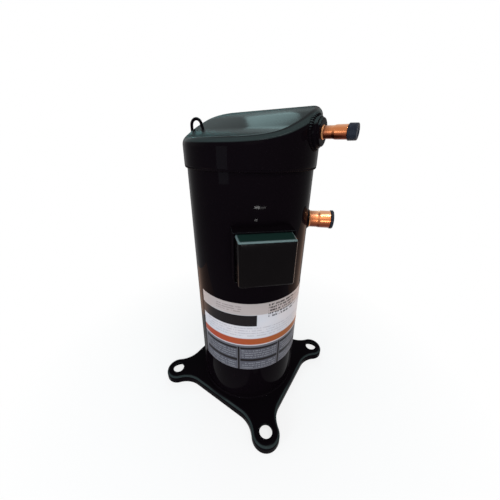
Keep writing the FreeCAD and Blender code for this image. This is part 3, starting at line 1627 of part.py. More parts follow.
def lower_bearing():
    """The three-armed bracket that carries the shaft's lower end, with its bush, washer and splash shield."""
    bottom = dim.lower_housing_bottom
    top = bottom + dim.lower_housing_height
    ledge = bottom + dim.lower_housing_lip
    hub = turned(
        "lower_hub",
        [
            (dim.lower_housing_mouth, bottom),
            (dim.lower_housing_radius, bottom),
            (dim.lower_housing_radius, top),
            (dim.lower_bearing_radius, top),
            (dim.lower_bearing_radius, ledge),
            (dim.lower_housing_mouth, ledge),
        ],
    )
    half = dim.arm_width / 2
    arm_bottom = bottom + dim.arm_rise
    arms = []
    tool_height = dim.arm_foot_height + dim.tool_overrun * 2
    limit = cylinder("arm_limit", shell_bore, tool_height, z=arm_bottom - dim.arm_foot_height)
    core = cylinder("arm_core", dim.lower_bearing_radius + 3, tool_height, z=arm_bottom - dim.tool_overrun)
    for i in range(int(dim.arm_count.number)):
        azimuth = sized(60) + sized(360) / dim.arm_count * i
        beam = box(
            "arm_beam_%d" % i,
            (dim.lower_bearing_radius, -half, arm_bottom),
            (shell_bore + 5, half, arm_bottom + dim.arm_thickness),
        )
        foot = box(
            "arm_foot_%d" % i,
            (shell_bore - dim.arm_foot_thickness, -half, arm_bottom + dim.arm_thickness - dim.arm_foot_height),
            (shell_bore + 5, half, arm_bottom + dim.arm_thickness),
        )
        arms.append(fuse("arm_%d" % i, [beam, foot], turn=azimuth))
    spider = common("spider", [fuse("spider_blank", arms), limit])
    node(fuse("lower_bracket", [hub, cut("spider_arms", spider, [core])]), "lower_bearing_housing")
    inner = dim.lower_journal_radius + dim.running_gap
    washer_top = ledge + dim.thrust_washer_thickness
    node(ring("lower_bush", inner, dim.lower_bearing_radius, washer_top + 1, top), "lower_bearing")
    washer = ring("washer", dim.lower_housing_mouth, dim.lower_bearing_radius - dim.running_gap, ledge, washer_top)
    node(washer, "thrust_washer")
    gauge = dim.shield_wall
    shield = turned(
        "shield",
        [
            (dim.lower_bearing_radius + 0.2, top),
            (dim.shield_radius, top),
            (dim.shield_radius, top + dim.shield_height),
            (dim.shield_radius - gauge, top + dim.shield_height),
            (dim.shield_radius - gauge, top + gauge),
            (dim.lower_bearing_radius + 0.2, top + gauge),
        ],
    )
    node(shield, "counterweight_shield")


base_plate()
center_shell()
cap_outside = cap_block(
    "cap_outside", 0, lambda body, name, rim: fillet(body, name, dim.roof_rim_radius, rim)
)
top_cap(cap_outside)
wrap_label()
lifting_lug(cap_outside)
muffler_plate()
relief_valve()
discharge_group(cap_outside)
suction_group()
terminal_fence()
terminal_cover()
terminal_feedthrough()
orbiting_scroll()
non_orbiting_scroll()
floating_seal()
oldham_ring()
main_bearing_housing()
guide_fasteners()
crankshaft()
motor()
lower_bearing()
doc.recompute()

for thing in doc.Objects:
    if "Invalid" in thing.State or "Error" in thing.State:
        raise RuntimeError("%s failed: %s" % (thing.Label, thing.State))
for piece in nodes:
    if piece.Shape.isNull() or not piece.Shape.isValid() or not piece.Shape.Solids:
        raise RuntimeError("%s has no valid solid" % piece.Label)

os.makedirs(NODE_FOLDER, exist_ok=True)
for piece in nodes:
    piece.Shape.exportStep(os.path.join(NODE_FOLDER, piece.Label + ".step"))
    print("%-24s %d solid(s) %10.1f mm3" % (piece.Label, len(piece.Shape.Solids), piece.Shape.Volume))
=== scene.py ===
"""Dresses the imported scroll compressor: enamelled steel, welds, copper stubs, plugs, bare label, stage."""

import json
import math

import bmesh
import bpy
import numpy as np
from mathutils import Matrix, Vector


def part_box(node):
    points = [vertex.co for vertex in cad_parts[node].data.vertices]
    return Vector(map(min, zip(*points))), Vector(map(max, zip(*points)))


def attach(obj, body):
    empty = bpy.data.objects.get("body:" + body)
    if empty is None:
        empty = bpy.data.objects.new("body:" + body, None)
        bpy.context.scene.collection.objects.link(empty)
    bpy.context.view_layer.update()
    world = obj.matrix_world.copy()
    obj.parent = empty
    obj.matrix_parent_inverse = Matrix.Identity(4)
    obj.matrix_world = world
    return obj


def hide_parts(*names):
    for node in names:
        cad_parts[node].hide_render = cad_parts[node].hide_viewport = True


bl_info = {
    "name": "Scroll Compressor Dressing",
    "version": (1, 0, 0),
    "blender": (4, 5, 0),
    "location": "3D Viewport > Sidebar > Compressor",
    "description": "Builds the outer skin of a hermetic scroll compressor over its packed frame",
    "category": "Add Mesh",
}

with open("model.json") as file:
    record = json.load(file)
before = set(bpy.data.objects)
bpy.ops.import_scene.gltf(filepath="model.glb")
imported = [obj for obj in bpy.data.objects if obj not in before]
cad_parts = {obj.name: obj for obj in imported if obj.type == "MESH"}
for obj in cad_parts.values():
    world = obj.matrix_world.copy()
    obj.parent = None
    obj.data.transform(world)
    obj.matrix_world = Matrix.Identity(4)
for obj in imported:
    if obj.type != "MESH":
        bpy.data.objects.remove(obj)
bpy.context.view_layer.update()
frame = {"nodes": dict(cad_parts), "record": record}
shell_low, shell_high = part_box("center_shell")
cap_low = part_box("top_cap")[0]
base_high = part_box("base_plate")[1]
label_low, label_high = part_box("wrap_label")
cover_low, cover_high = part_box("terminal_cover")
discharge_low, discharge_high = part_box("discharge_tube")
suction_low, suction_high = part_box("suction_tube")
lug_low, lug_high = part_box("lifting_lug")

TURN = 2 * math.pi
QUARTER = math.pi / 2
UP = np.array([0, 0, 1.0])
MERGE = 2e-6
BEAD_STEPS = 9

# Small lengths that the panel leaves out: the flat behind the wiring box, the rounding of edges, the label.
FLAT_REACH, FLAT_HALF, FLAT_RISE, FLAT_EDGE = 0.080, 0.022, 0.0225, 0.0005
CAP_LIP, BASE_EDGE, FENCE_EDGE = 0.0007, 0.0006, 0.0005
LABEL_LIFT, LABEL_GAUGE = 0.00005, 0.00025


# ---------------------------------------------------------------- sizes and colours

def size(name, description, default):
    """A length in metres."""
    return bpy.props.FloatProperty(
        name=name, description=description, default=default, unit="LENGTH", subtype="DISTANCE", precision=5
    )


def angle(name, description, degrees):
    """An angle that is written in degrees."""
    return bpy.props.FloatProperty(
        name=name, description=description, default=math.radians(degrees), unit="ROTATION", subtype="ANGLE"
    )


def colour(name, description, default):
    """A linear colour."""
    return bpy.props.FloatVectorProperty(
        name=name, description=description, default=default, subtype="COLOR", size=3, min=0.0, max=1.0
    )


def middle(low, high):
    """Height half way between two corners."""
    return (low.z + high.z) / 2


def half_height(low, high):
    """Half the height between two corners."""
    return (high.z - low.z) / 2


class CompressorSizes(bpy.types.PropertyGroup):
    """Sizes of the outer pieces."""

    shell_radius: size("Shell radius", "Outside of the rolled shell", -shell_low.x)
    shell_bore: size("Shell bore", "Inside of the rolled shell", -shell_low.x - 0.0032)
    shell_bottom: size("Shell bottom", "Where the shell stands on the base", shell_low.z)
    shell_top: size("Shell top", "Upper edge of the rolled shell", shell_high.z)
    seam_azimuth: angle("Seam azimuth", "Direction of the shell's upright weld", 118.0)
    cap_radius: size("Cap radius", "Outside of the drawn cap", -cap_low.x)
    cap_bottom: size("Cap bottom", "Lower edge of the cap's skirt", cap_low.z)
    cap_wall: size("Cap wall", "Thickness of the drawn cap", 0.0029)
    roof_azimuth: angle("Roof azimuth", "Direction in which the roof rises", 87.0)
    roof_shelf: size("Roof shelf", "Height of the roof's low shelf", 0.4072)
    roof_valley: size("Roof valley", "Distance from the axis to the foot of the ramp", 0.0548)
    roof_crest: size("Roof crest", "Distance from the axis to the head of the ramp", 0.0293)
    roof_ramp: angle("Roof ramp", "Slope of the ramp", 24.0)
    roof_plateau: angle("Roof plateau", "Slope of the plateau", 2.0)
    valley_radius: size("Valley radius", "Bend at the foot of the ramp", 0.130)
    crest_radius: size("Crest radius", "Bend at the head of the ramp", 0.170)
    rim_radius: size("Rim radius", "Rounding between the cap's wall and its roof", 0.010)
    base_top: size("Base top", "Upper face of the base", 0.015)
    base_gauge: size("Base gauge", "Thickness of the base's sheet", 0.0035)
    base_bend: size("Base bend", "Outside radius of the turned-down rim", 0.006)
    side_reach: size("Side reach", "Distance from the axis to a straight side", 0.0935)
    hole_spacing: size("Hole spacing", "Side of the square of mounting holes", 0.1905)
    hole_radius: size("Hole radius", "Radius of a mounting hole", 0.0095)
    ear_radius: size("Ear radius", "Radius of an ear round its hole", base_high.x - 0.09525)
    ear_blend: size("Ear blend", "Radius of the waist beside an ear", 0.040)
    sump_radius: size("Sump radius", "Flat floor of the dished middle", 0.052)
    discharge_height: size("Discharge height", "Axis of the stub", middle(discharge_low, discharge_high))
    discharge_reach: size("Discharge reach", "Open end of the stub", discharge_high.x)
    discharge_bell: size("Discharge bell", "Socket's radius", half_height(discharge_low, discharge_high))
    suction_azimuth: angle("Suction azimuth", "Direction of the suction stub", 26.3)
    suction_height: size("Suction height", "Axis of the stub", middle(suction_low, suction_high))
    suction_reach: size("Suction reach", "Open end of the stub", 0.113)
    suction_bell: size("Suction bell", "Socket's radius", half_height(suction_low, suction_high))
    lug_azimuth: angle("Lug azimuth", "Direction of the lifting lug", 192.5)
    lug_rod: size("Lug rod", "Radius of the lug's bent rod", 0.002)
    lug_inner: size("Lug inner leg", "Distance from the axis to the leg on the roof", -cap_low.x - 0.0135)
    lug_top: size("Lug top", "Highest point of the lug", lug_high.z)
    lug_foot: size("Lug foot", "Lower end of the leg on the wall", lug_low.z)
    box_azimuth: angle("Box azimuth", "Direction of the wiring box", -47.0)
    box_height: size("Box height", "Middle of the wiring box", middle(cover_low, cover_high))
    cover_half: size("Cover half width", "Half the cover's width at its rear edge", 0.0328)
    cover_rise: size("Cover half height", "Half its height there", half_height(cover_low, cover_high))
    cover_rear: size("Cover rear", "Rear edge of the cover", 0.0945)
    cover_face: size("Cover face", "Front face of the cover", 0.116)
    cover_draft: angle("Cover draft", "Lean of the cover's walls", 4.0)
    cover_round: size("Cover rounding", "Rounding of the cover's edges", 0.0032)
    cover_wall: size("Cover wall", "Thickness of the cover", 0.002)
    label_start: angle("Label start", "Azimuth of the label's left edge", -111.0)
    label_sweep: angle("Label sweep", "Angle that the label covers", 131.0)
    label_bottom: size("Label bottom", "Lower edge of the label", label_low.z)
    label_top: size("Label top", "Upper edge of the label", label_high.z)


class CompressorColours(bpy.types.PropertyGroup):
    """Colours of the outer pieces."""

    paint: colour("Paint", "Baked gloss enamel on the steel", (0.0022, 0.0014, 0.0021))
    copper: colour("Copper", "Drawn copper tube", (0.56, 0.20, 0.075))
    rubber: colour("Rubber", "Shipping plugs", (0.007, 0.0095, 0.017))
    plastic: colour("Plastic", "Moulded cover", (0.0022, 0.0016, 0.0018))
    label: colour("Label", "Bare vinyl", (0.52, 0.49, 0.51))
    stripe: colour("Stripe", "Coloured band of the label", (0.30, 0.050, 0.024))


# ---------------------------------------------------------------- surfaces

def full_turn(count):
    """Equally spaced angles round a circle."""
    return np.arange(count) / count * TURN


def circle(angles):
    """Plan points of the unit circle."""
    return np.stack([np.cos(angles), np.sin(angles)], -1)


def about_axis(radius, angles, height):
    """Points at a radius and an angle about the upright axis."""
    return np.stack([radius * np.cos(angles), radius * np.sin(angles), height + 0 * angles], -1)


def upright(height):
    """Points on the upright axis."""
    return np.stack([0 * height, 0 * height, height], -1)


def headings(azimuth):
    """Level unit vectors along an azimuth and across it."""
    cosine, sine = math.cos(azimuth), math.sin(azimuth)
    return np.array([cosine, sine, 0.0]), np.array([-sine, cosine, 0.0])


def spokes(angles, first, second):
    """Directions at angles from a first unit vector towards a second."""
    return np.cos(angles)[:, None] * first + np.sin(angles)[:, None] * second


def unit(vectors):
    """Vectors brought to length one."""
    return vectors / np.maximum(np.linalg.norm(vectors, axis=1, keepdims=True), 1e-12)


def grid_faces(rows, columns, wrap_rows=False, wrap_columns=True):
    """Quads between neighbouring points of a grid of rows and columns, wrapped round where asked."""
    row = np.arange(rows if wrap_rows else rows - 1)[:, None]
    column = np.arange(columns if wrap_columns else columns - 1)[None, :]
    below, beside = (row + 1) % rows, (column + 1) % columns
    near = (row * columns + column, row * columns + beside)
    far = (below * columns + beside, below * columns + column)
    return np.stack(near + far, -1).reshape(-1, 4)


def surface(points, wrap_rows=False):
    """A grid of points, rows by columns by three, with the quads that join them round each row."""
    return points.reshape(-1, 3), grid_faces(points.shape[0], points.shape[1], wrap_rows)


def place_piece(name, body, material, mesh):
    """An object for a finished mesh, which rides on a body."""
    mesh.materials.append(material)
    piece = bpy.data.objects.new(name, mesh)
    bpy.context.scene.collection.objects.link(piece)
    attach(piece, body)
    return piece


def add_piece(name, body, material, surfaces, crease=35.0):
    """One mesh out of surfaces: doubles merged, faces turned outwards, smooth up to a crease in degrees."""
    starts = np.cumsum([0] + [len(points) for points, quads in surfaces])
    vertices = np.concatenate([points for points, quads in surfaces])
    faces = np.concatenate([quads + start for (points, quads), start in zip(surfaces, starts)])
    mesh = bpy.data.meshes.new(name)
    mesh.from_pydata(vertices.tolist(), [], faces.tolist())
    work = bmesh.new()
    work.from_mesh(mesh)
    bmesh.ops.remove_doubles(work, verts=work.verts, dist=MERGE)
    bmesh.ops.dissolve_degenerate(work, edges=work.edges, dist=MERGE / 4)
    bmesh.ops.recalc_face_normals(work, faces=work.faces)
    work.to_mesh(mesh)
    work.free()
    mesh.shade_smooth()
    mesh.set_sharp_from_angle(angle=math.radians(crease))
    return place_piece(name, body, material, mesh)


def add_painted(name, paint, surfaces, crease=35.0):
    """A painted piece of the shell."""
    return add_piece(name, "shell", paint, surfaces, crease)


def softened(name, node, body, material, width):
    """A frame node's mesh with its flat faces joined, whose sharp edges a bevel rounds by width."""
    mesh = frame["nodes"][node].data.copy()
    mesh.name = name
    mesh.materials.clear()
    work = bmesh.new()
    work.from_mesh(mesh)
    bmesh.ops.remove_doubles(work, verts=work.verts, dist=MERGE)
    bmesh.ops.dissolve_limit(work, angle_limit=math.radians(1.0), verts=work.verts, edges=work.edges)
    work.to_mesh(mesh)
    work.free()
    mesh.shade_smooth()
    piece = place_piece(name, body, material, mesh)
    bevel = piece.modifiers.new("Rounded edges", "BEVEL")
    bevel.width = width
    bevel.segments = 3
    bevel.limit_method = "ANGLE"
    bevel.angle_limit = math.radians(35)
    bevel.harden_normals = True
    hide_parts(node)


def rounded(corners, radii, steps=8, closed=True):
    """A line through corners, each replaced with an arc that touches both runs.

    An arc's centre lies on its corner's bisector, radius over the sine of half the corner's angle away."""
    corners = np.array(corners, float)
    radii = np.broadcast_to(np.array(radii, float), len(corners)).copy()
    if not closed:
        radii[[0, -1]] = 0.0
    back = unit(np.roll(corners, 1, 0) - corners)
    ahead = unit(np.roll(corners, -1, 0) - corners)
    half = np.arccos(np.clip((back * ahead).sum(1), -1, 1)) / 2
    folded = 1e-6
    radii = np.where(half < folded, 0.0, radii)
    half = np.maximum(half, folded)
    run = (radii / np.tan(half))[:, None]
    centre = corners + unit(back + ahead) * (radii / np.sin(half))[:, None]
    first = (corners + back * run - centre)[:, None]
    last = (corners + ahead * run - centre)[:, None]
    sweep = np.maximum(np.pi - 2 * half, 1e-9)[:, None, None]
    share = np.linspace(0, 1, steps)[None, :, None]
    arc = (np.sin((1 - share) * sweep) * first + np.sin(share * sweep) * last) / np.sin(sweep)
    points = np.where(radii[:, None, None] > 0, centre[:, None] + arc, corners[:, None]).reshape(-1, 2)
    step = np.linalg.norm(np.diff(points, axis=0), axis=1)
    return points[np.concatenate([[True], step > 1e-9])]


def turned(profile, azimuths):
    """A surface of revolution about the upright axis: each profile point is a radius and a height."""
    profile = np.asarray(profile)
    return about_axis(profile[:, :1], azimuths, profile[:, 1:])


def turned_outwards(profile, azimuth, height, turns=72):
    """A surface of revolution about a level line that leaves the axis along an azimuth.

    Each profile point is a distance along that line and a radius round it."""
    outward, sideways = headings(azimuth)
    along, radius = np.asarray(profile).T[..., None, None]
    return UP * height + along * outward + radius * spokes(full_turn(turns), sideways, UP)


def revolved(profile, azimuth, height, turns=72):
    """A closed section turned about a level line, as the surfaces of one piece."""
    return [surface(turned_outwards(profile, azimuth, height, turns), wrap_rows=True)]


def bead(path, inward, rise, radius, dabs, closed=True, sides=14):
    """A weld bead: a round section along a path, swollen by one slanted ripple for each dab of the rod."""
    count = len(path)
    along = (np.arange(count) / (count if closed else count - 1))[:, None]
    around = full_turn(sides)
    ripple = 0.10 * np.sin(along * dabs * TURN - 1.3 * np.cos(around))
    wander = 0.05 * np.sin(along * TURN * 7 + 1.1) + 0.035 * np.sin(along * TURN * 17 + 0.4)
    section = radius * (1 + ripple + wander)
    if not closed:
        section = section * np.sqrt(np.clip(np.minimum(along, 1 - along) * 14, 0, 1))
    inward, rise = (np.broadcast_to(way, path.shape)[:, None] for way in (inward, rise))
    return surface(path[:, None] + section[..., None] * spokes(around, inward, rise), wrap_rows=closed)


def round_bead(radius, height, thickness, dabs):
    """A weld bead round the upright axis."""
    outward = about_axis(1.0, full_turn(dabs * BEAD_STEPS), 0.0)
    return bead(outward * radius + UP * height, outward, UP, thickness, dabs)


def seam_on_cylinder(azimuth, height, reach, radius, thickness, dabs):
    """A weld bead round a level stub, on the line where it leaves an upright cylinder of radius reach."""
    around = full_turn(dabs * BEAD_STEPS)
    across, up = radius * np.cos(around), radius * np.sin(around)
    outward, sideways = headings(azimuth)
    out = np.sqrt(reach**2 - across**2)
    path = out[:, None] * outward + across[:, None] * sideways + upright(height + up)
    return bead(path, spokes(around, sideways, UP), outward, thickness, dabs)


# ---------------------------------------------------------------- finishes

def shade(base, factor):
    """A colour made darker or lighter."""
    return tuple(part * factor for part in base)


class Finish:
    """A node material with one Principled shader, whose patterns lie in the object's own frame."""

    def __init__(self, name, base, roughness, **constants):
        self.material = bpy.data.materials.new(name)
        self.material.use_nodes = True
        self.tree = self.material.node_tree
        self.shader = self.tree.nodes["Principled BSDF"]
        self.shader.inputs["Base Color"].default_value = (*base, 1.0)
        self.shader.inputs["Roughness"].default_value = roughness
        for key, value in constants.items():
            self.shader.inputs[key.replace("_", " ")].default_value = value
        self.place = self.tree.nodes.new("ShaderNodeTexCoord").outputs["Object"]

    def add(self, kind, inputs=None, **settings):
        """A node with its inputs set or linked."""
        node = self.tree.nodes.new(kind)
        for key, value in settings.items():
            setattr(node, key, value)
        for key, value in (inputs or {}).items():
            self.feed(node.inputs[key], value)
        return node

    def feed(self, socket, value):
        """Links an output to a socket, or sets the socket's own value."""
        if isinstance(value, bpy.types.NodeSocket):
            self.tree.links.new(value, socket)
        else:
            socket.default_value = value

    def mapped(self, place, scale=(1, 1, 1), turn=(0, 0, 0)):
        """Coordinates that are first stretched and then turned."""
        inputs = {"Vector": place, "Scale": scale, "Rotation": turn}
        return self.add("ShaderNodeMapping", inputs).outputs[0]

    def split(self, vector):
        """The three parts of a vector."""
        return self.add("ShaderNodeSeparateXYZ", {0: vector}).outputs

    def level(self):
        """1 where the surface faces up, 0 on a wall, -1 where it faces down."""
        return self.split(self.add("ShaderNodeNewGeometry").outputs["Normal"])[2]

    def noise(self, scale, detail=3.0, place=None, roughness=0.55):
        """Soft noise between 0 and 1."""
        inputs = {"Vector": place or self.place, "Scale": scale, "Detail": detail, "Roughness": roughness}
        return self.add("ShaderNodeTexNoise", inputs).outputs["Fac"]

    def waves(self, kind, **inputs):
        """Waves along Z as BANDS, or round it as RINGS."""
        settings = {"wave_type": kind, kind.lower() + "_direction": "Z"}
        inputs = {key.replace("_", " "): value for key, value in inputs.items()}
        return self.add("ShaderNodeTexWave", {"Vector": self.place, **inputs}, **settings).outputs["Fac"]

    def calc(self, operation, first, second=0.0):
        """One sum."""
        return self.add("ShaderNodeMath", {0: first, 1: second}, operation=operation).outputs[0]

    def times(self, first, second):
        """Two values multiplied."""
        return self.calc("MULTIPLY", first, second)

    def plus(self, first, second):
        """Two values added."""
        return self.calc("ADD", first, second)

    def spread(self, value, low, high, to_low=0.0, to_high=1.0):
        """A value carried from one range to another, held at its ends."""
        inputs = {0: value, 1: low, 2: high, 3: to_low, 4: to_high}
        return self.add("ShaderNodeMapRange", inputs).outputs[0]

    def band(self, value, low, high, soft):
        """1 where a value lies between two limits, with slightly soft sides."""
        rise = self.spread(value, low - soft, low + soft)
        fall = self.spread(value, high - soft, high + soft, 1.0, 0.0)
        return self.times(rise, fall)

    def blend(self, factor, first, second):
        """Two colours mixed."""
        node = self.add("ShaderNodeMix", data_type="RGBA")
        self.feed(node.inputs[0], factor)
        for socket, value in ((node.inputs[6], first), (node.inputs[7], second)):
            self.feed(socket, (*value, 1.0) if isinstance(value, tuple) else value)
        return node.outputs[2]

    def bump(self, height, strength, distance):
        """A normal raised by a height."""
        inputs = {"Height": height, "Strength": strength, "Distance": distance}
        return self.add("ShaderNodeBump", inputs).outputs[0]

    def wear(self, colour, roughness, normal=None):
        """Feeds the shader's patterned sockets and gives the material."""
        for name, value in (("Base Color", colour), ("Roughness", roughness), ("Normal", normal)):
            if value is not None:
                self.feed(self.shader.inputs[name], value)
        return self.material


def enamel(base):
    """Baked gloss enamel over steel.

    It has a slow haze, a little dust on level faces, a painted pale highlight on the upward roundings of the
    cap and of the base's edge, and a softer gloss where it is seen edge on."""
    # The first colour is a painted highlight: a pale teal that stands for lamps mirrored in the upward
    # roundings.
    painted_highlight_tint, dust_tint = (0.022, 0.030, 0.030), (0.013, 0.015, 0.015)
    finish = Finish("Gloss enamel", base, 0.08, IOR=1.045)
    haze = finish.noise(9.0, 4.0)
    specks = finish.noise(1700.0, 2.0)
    level = finish.level()
    settled = finish.spread(level, 0.55, 1.0)
    patches = finish.times(settled, finish.spread(haze, 0.35, 0.75, 0.1, 0.5))
    dust = finish.times(finish.spread(specks, 0.52, 0.80, 0.02, 0.4), patches)
    facing = finish.add("ShaderNodeLayerWeight", {"Blend": 0.5}).outputs["Facing"]
    edge_on = finish.spread(facing, 0.76, 0.96, 0.0, 0.5)
    gloss = finish.plus(finish.spread(haze, 0.3, 0.75, 0.02, 0.045), finish.times(settled, 0.10))
    x, y, z = finish.split(finish.place)
    reach = finish.calc("SQRT", finish.plus(finish.times(x, x), finish.times(y, y)))
    # Painted highlight: on the cap and along the base's edge, upward roundings are lightened towards the
    # pale teal.
    on_cap = finish.spread(z, 0.30, 0.35)
    on_base_edge = finish.spread(reach, 0.090, 0.094)
    bare = finish.calc("MAXIMUM", on_cap, on_base_edge)
    rounding = finish.times(bare, finish.band(level, 0.45, 0.86, 0.06))
    with_painted_highlight = finish.blend(rounding, finish.blend(haze, base, shade(base, 1.5)), painted_highlight_tint)
    dulled = finish.calc("MAXIMUM", edge_on, finish.times(dust, 0.5))
    return finish.wear(finish.blend(dust, with_painted_highlight, dust_tint), finish.plus(gloss, dulled))


def drawn_copper(base, azimuth, joint):
    """Drawn copper: fine lines along the tube, cloudy tarnish, a painted highlight above, painted shade
    underneath, and heat tint.

    The tint fades out within a centimetre of the joint."""
    # The pale colour is a painted highlight for the tube's upper side, and the dark red a painted shade for
    # its underside.
    tarnish, glint = (0.40, 0.125, 0.045), (0.66, 0.36, 0.21)
    shadow, scorch = (0.110, 0.018, 0.012), (0.17, 0.050, 0.026)
    finish = Finish("Drawn copper", base, 0.24, Metallic=1.0)
    along_tube = finish.mapped(finish.place, turn=(0, 0, -azimuth))
    lines = finish.noise(1.0, 1.0, finish.mapped(along_tube, (12, 500, 500)))
    cloud = finish.noise(45.0, 2.0)
    level = finish.level()
    heat = finish.spread(finish.split(along_tube)[0], joint, joint + 0.010, 1.0, 0.0)
    clean = finish.blend(finish.spread(cloud, 0.35, 0.7, 0, 0.5), base, tarnish)
    # Painted highlight on the upper side, then painted shade on the underside.
    upper = finish.blend(finish.spread(level, 0.45, 0.85, 0.0, 0.7), clean, glint)
    lower = finish.blend(finish.spread(level, 0.30, -0.45, 0.0, 0.9), upper, shadow)
    roughness = finish.plus(finish.spread(lines, 0.3, 0.7, 0.24, 0.32), finish.times(heat, 0.12))
    return finish.wear(finish.blend(finish.times(heat, 0.8), lower, scorch), roughness)


def moulded_rubber(base):
    """Satin rubber with a fine moulded grain and faint bloom."""
    finish = Finish("Plug rubber", base, 0.5, IOR=1.2)
    bloom = finish.noise(160.0, 4.0)
    return finish.wear(
        finish.blend(finish.spread(bloom, 0.4, 0.75, 0, 0.6), base, (0.022, 0.026, 0.038)),
        finish.spread(bloom, 0.3, 0.7, 0.42, 0.62),
        finish.bump(finish.noise(2400.0), 0.18, 0.0002),
    )


def moulded_plastic(base):
    """Glossy moulded plastic with a shallow flow pattern, a painted reflection on its top face and a painted
    highlight along its upward rounding.
    """
    # The first colour is a painted teal reflection for the top face, and the second a painted highlight for
    # the upward rounding.
    painted_sky_reflection, painted_edge_highlight = (0.008, 0.024, 0.020), (0.10, 0.145, 0.145)
    finish = Finish("Cover plastic", base, 0.16, IOR=1.10)
    flow = finish.noise(45.0)
    level = finish.level()
    moulded = finish.blend(flow, base, shade(base, 1.5))
    # Painted reflection on the top face.
    with_sky_reflection = finish.blend(finish.spread(level, 0.90, 0.98, 0.0, 0.8), moulded, painted_sky_reflection)
    # Painted highlight along the upward rounding.
    return finish.wear(
        finish.blend(finish.band(level, 0.38, 0.90, 0.08), with_sky_reflection, painted_edge_highlight),
        finish.spread(flow, 0.3, 0.7, 0.12, 0.2),
        finish.bump(finish.noise(900.0, 2.0), 0.05, 0.0002),
    )


def brazed_alloy():
    """Brazing alloy: brassy, lumpy and dulled by flux."""
    finish = Finish("Brazing alloy", (0.40, 0.20, 0.09), 0.4, Metallic=1.0)
    cloud = finish.noise(420.0, 4.0)
    return finish.wear(
        finish.blend(cloud, (0.48, 0.22, 0.09), (0.12, 0.06, 0.035)),
        finish.spread(cloud, 0.3, 0.7, 0.28, 0.6),
        finish.bump(cloud, 0.4, 0.0005),
    )


def machined(name, base, roughness):
    """Turned or ground metal: fine tool lines across Z, and a slow patchiness of oil."""
    finish = Finish(name, base, roughness, Metallic=1.0)
    tool_lines = finish.noise(1.0, 2.0, finish.mapped(finish.place, (40, 40, 1600)))
    oil = finish.noise(55.0, 4.0)
    return finish.wear(
        finish.blend(finish.spread(oil, 0.35, 0.75), base, shade(base, 0.72)),
        finish.spread(oil, 0.3, 0.7, roughness * 0.75, roughness * 1.35),
        finish.bump(tool_lines, 0.18, 0.0002),
    )


def cast_metal(name, base, roughness, grain=700.0, depth=0.0005):
    """A casting or a sintered part: a granular skin with darker pores."""
    finish = Finish(name, base, roughness, Metallic=0.85)
    skin = finish.noise(grain, 6.0, roughness=0.65)
    cloud = finish.noise(60.0, 4.0)
    pores = finish.times(finish.spread(skin, 0.30, 0.48, 1.0, 0.0), 0.55)
    return finish.wear(
        finish.blend(pores, finish.blend(cloud, base, shade(base, 0.7)), shade(base, 0.3)),
        finish.spread(skin, 0.3, 0.7, roughness * 0.8, min(1.0, roughness * 1.3)),
        finish.bump(skin, 0.35, depth),
    )


def stacked_laminations():
    """A stack of electrical steel: one fine line for each sheet, with a bluish oxide."""
    finish = Finish("Lamination steel", (0.34, 0.36, 0.40), 0.42, Metallic=0.9)
    sheets = finish.waves("BANDS", Scale=318.0, Distortion=0.15)
    oxide = finish.noise(38.0, 4.0)
    steel = finish.blend(oxide, (0.36, 0.38, 0.42), (0.22, 0.23, 0.28))
    return finish.wear(
        finish.blend(finish.times(sheets, 0.6), steel, (0.08, 0.08, 0.09)),
        finish.spread(oxide, 0.3, 0.7, 0.32, 0.52),
        finish.bump(sheets, 0.4, 0.0003),
    )


def wound_wire():
    """Enamelled wire laid in rows that run round the motor, under a thin amber varnish."""
    finish = Finish("Winding copper", (0.50, 0.17, 0.05), 0.3, Metallic=0.7, Coat_Weight=0.4)
    rows = finish.waves("RINGS", Scale=200.0, Distortion=2.2, Detail=2.0, Detail_Scale=0.6)
    layers = finish.waves("BANDS", Scale=200.0, Distortion=1.6, Detail=2.0)
    wires = finish.times(rows, layers)
    return finish.wear(
        finish.blend(wires, (0.16, 0.045, 0.015), (0.62, 0.23, 0.07)),
        finish.spread(wires, 0.0, 1.0, 0.5, 0.24),
        finish.bump(wires, 0.6, 0.0008),
    )


def matte_polymer(name, base, roughness=0.55, grain=1100.0):
    """A matte polymer with a fine grain and slight scuffs."""
    finish = Finish(name, base, roughness)
    scuff = finish.noise(70.0, 5.0)
    scuffed = tuple(min(1.0, part * 1.35 + 0.01) for part in base)
    return finish.wear(
        finish.blend(finish.spread(scuff, 0.45, 0.8), base, scuffed),
        finish.spread(scuff, 0.3, 0.7, roughness * 0.85, min(1.0, roughness * 1.2)),
        finish.bump(finish.noise(grain), 0.2, 0.0002),
    )


def bead_glass():
    """Fused sealing glass, smoky green with tiny bubbles."""
    finish = Finish("Bead glass", (0.10, 0.17, 0.15), 0.12, IOR=1.52)
    bubbles = finish.noise(1500.0, 2.0)
    return finish.wear(
        finish.blend(finish.spread(bubbles, 0.55, 0.7), (0.08, 0.15, 0.13), (0.32, 0.42, 0.38)),
        finish.spread(bubbles, 0.3, 0.8, 0.08, 0.22),
    )


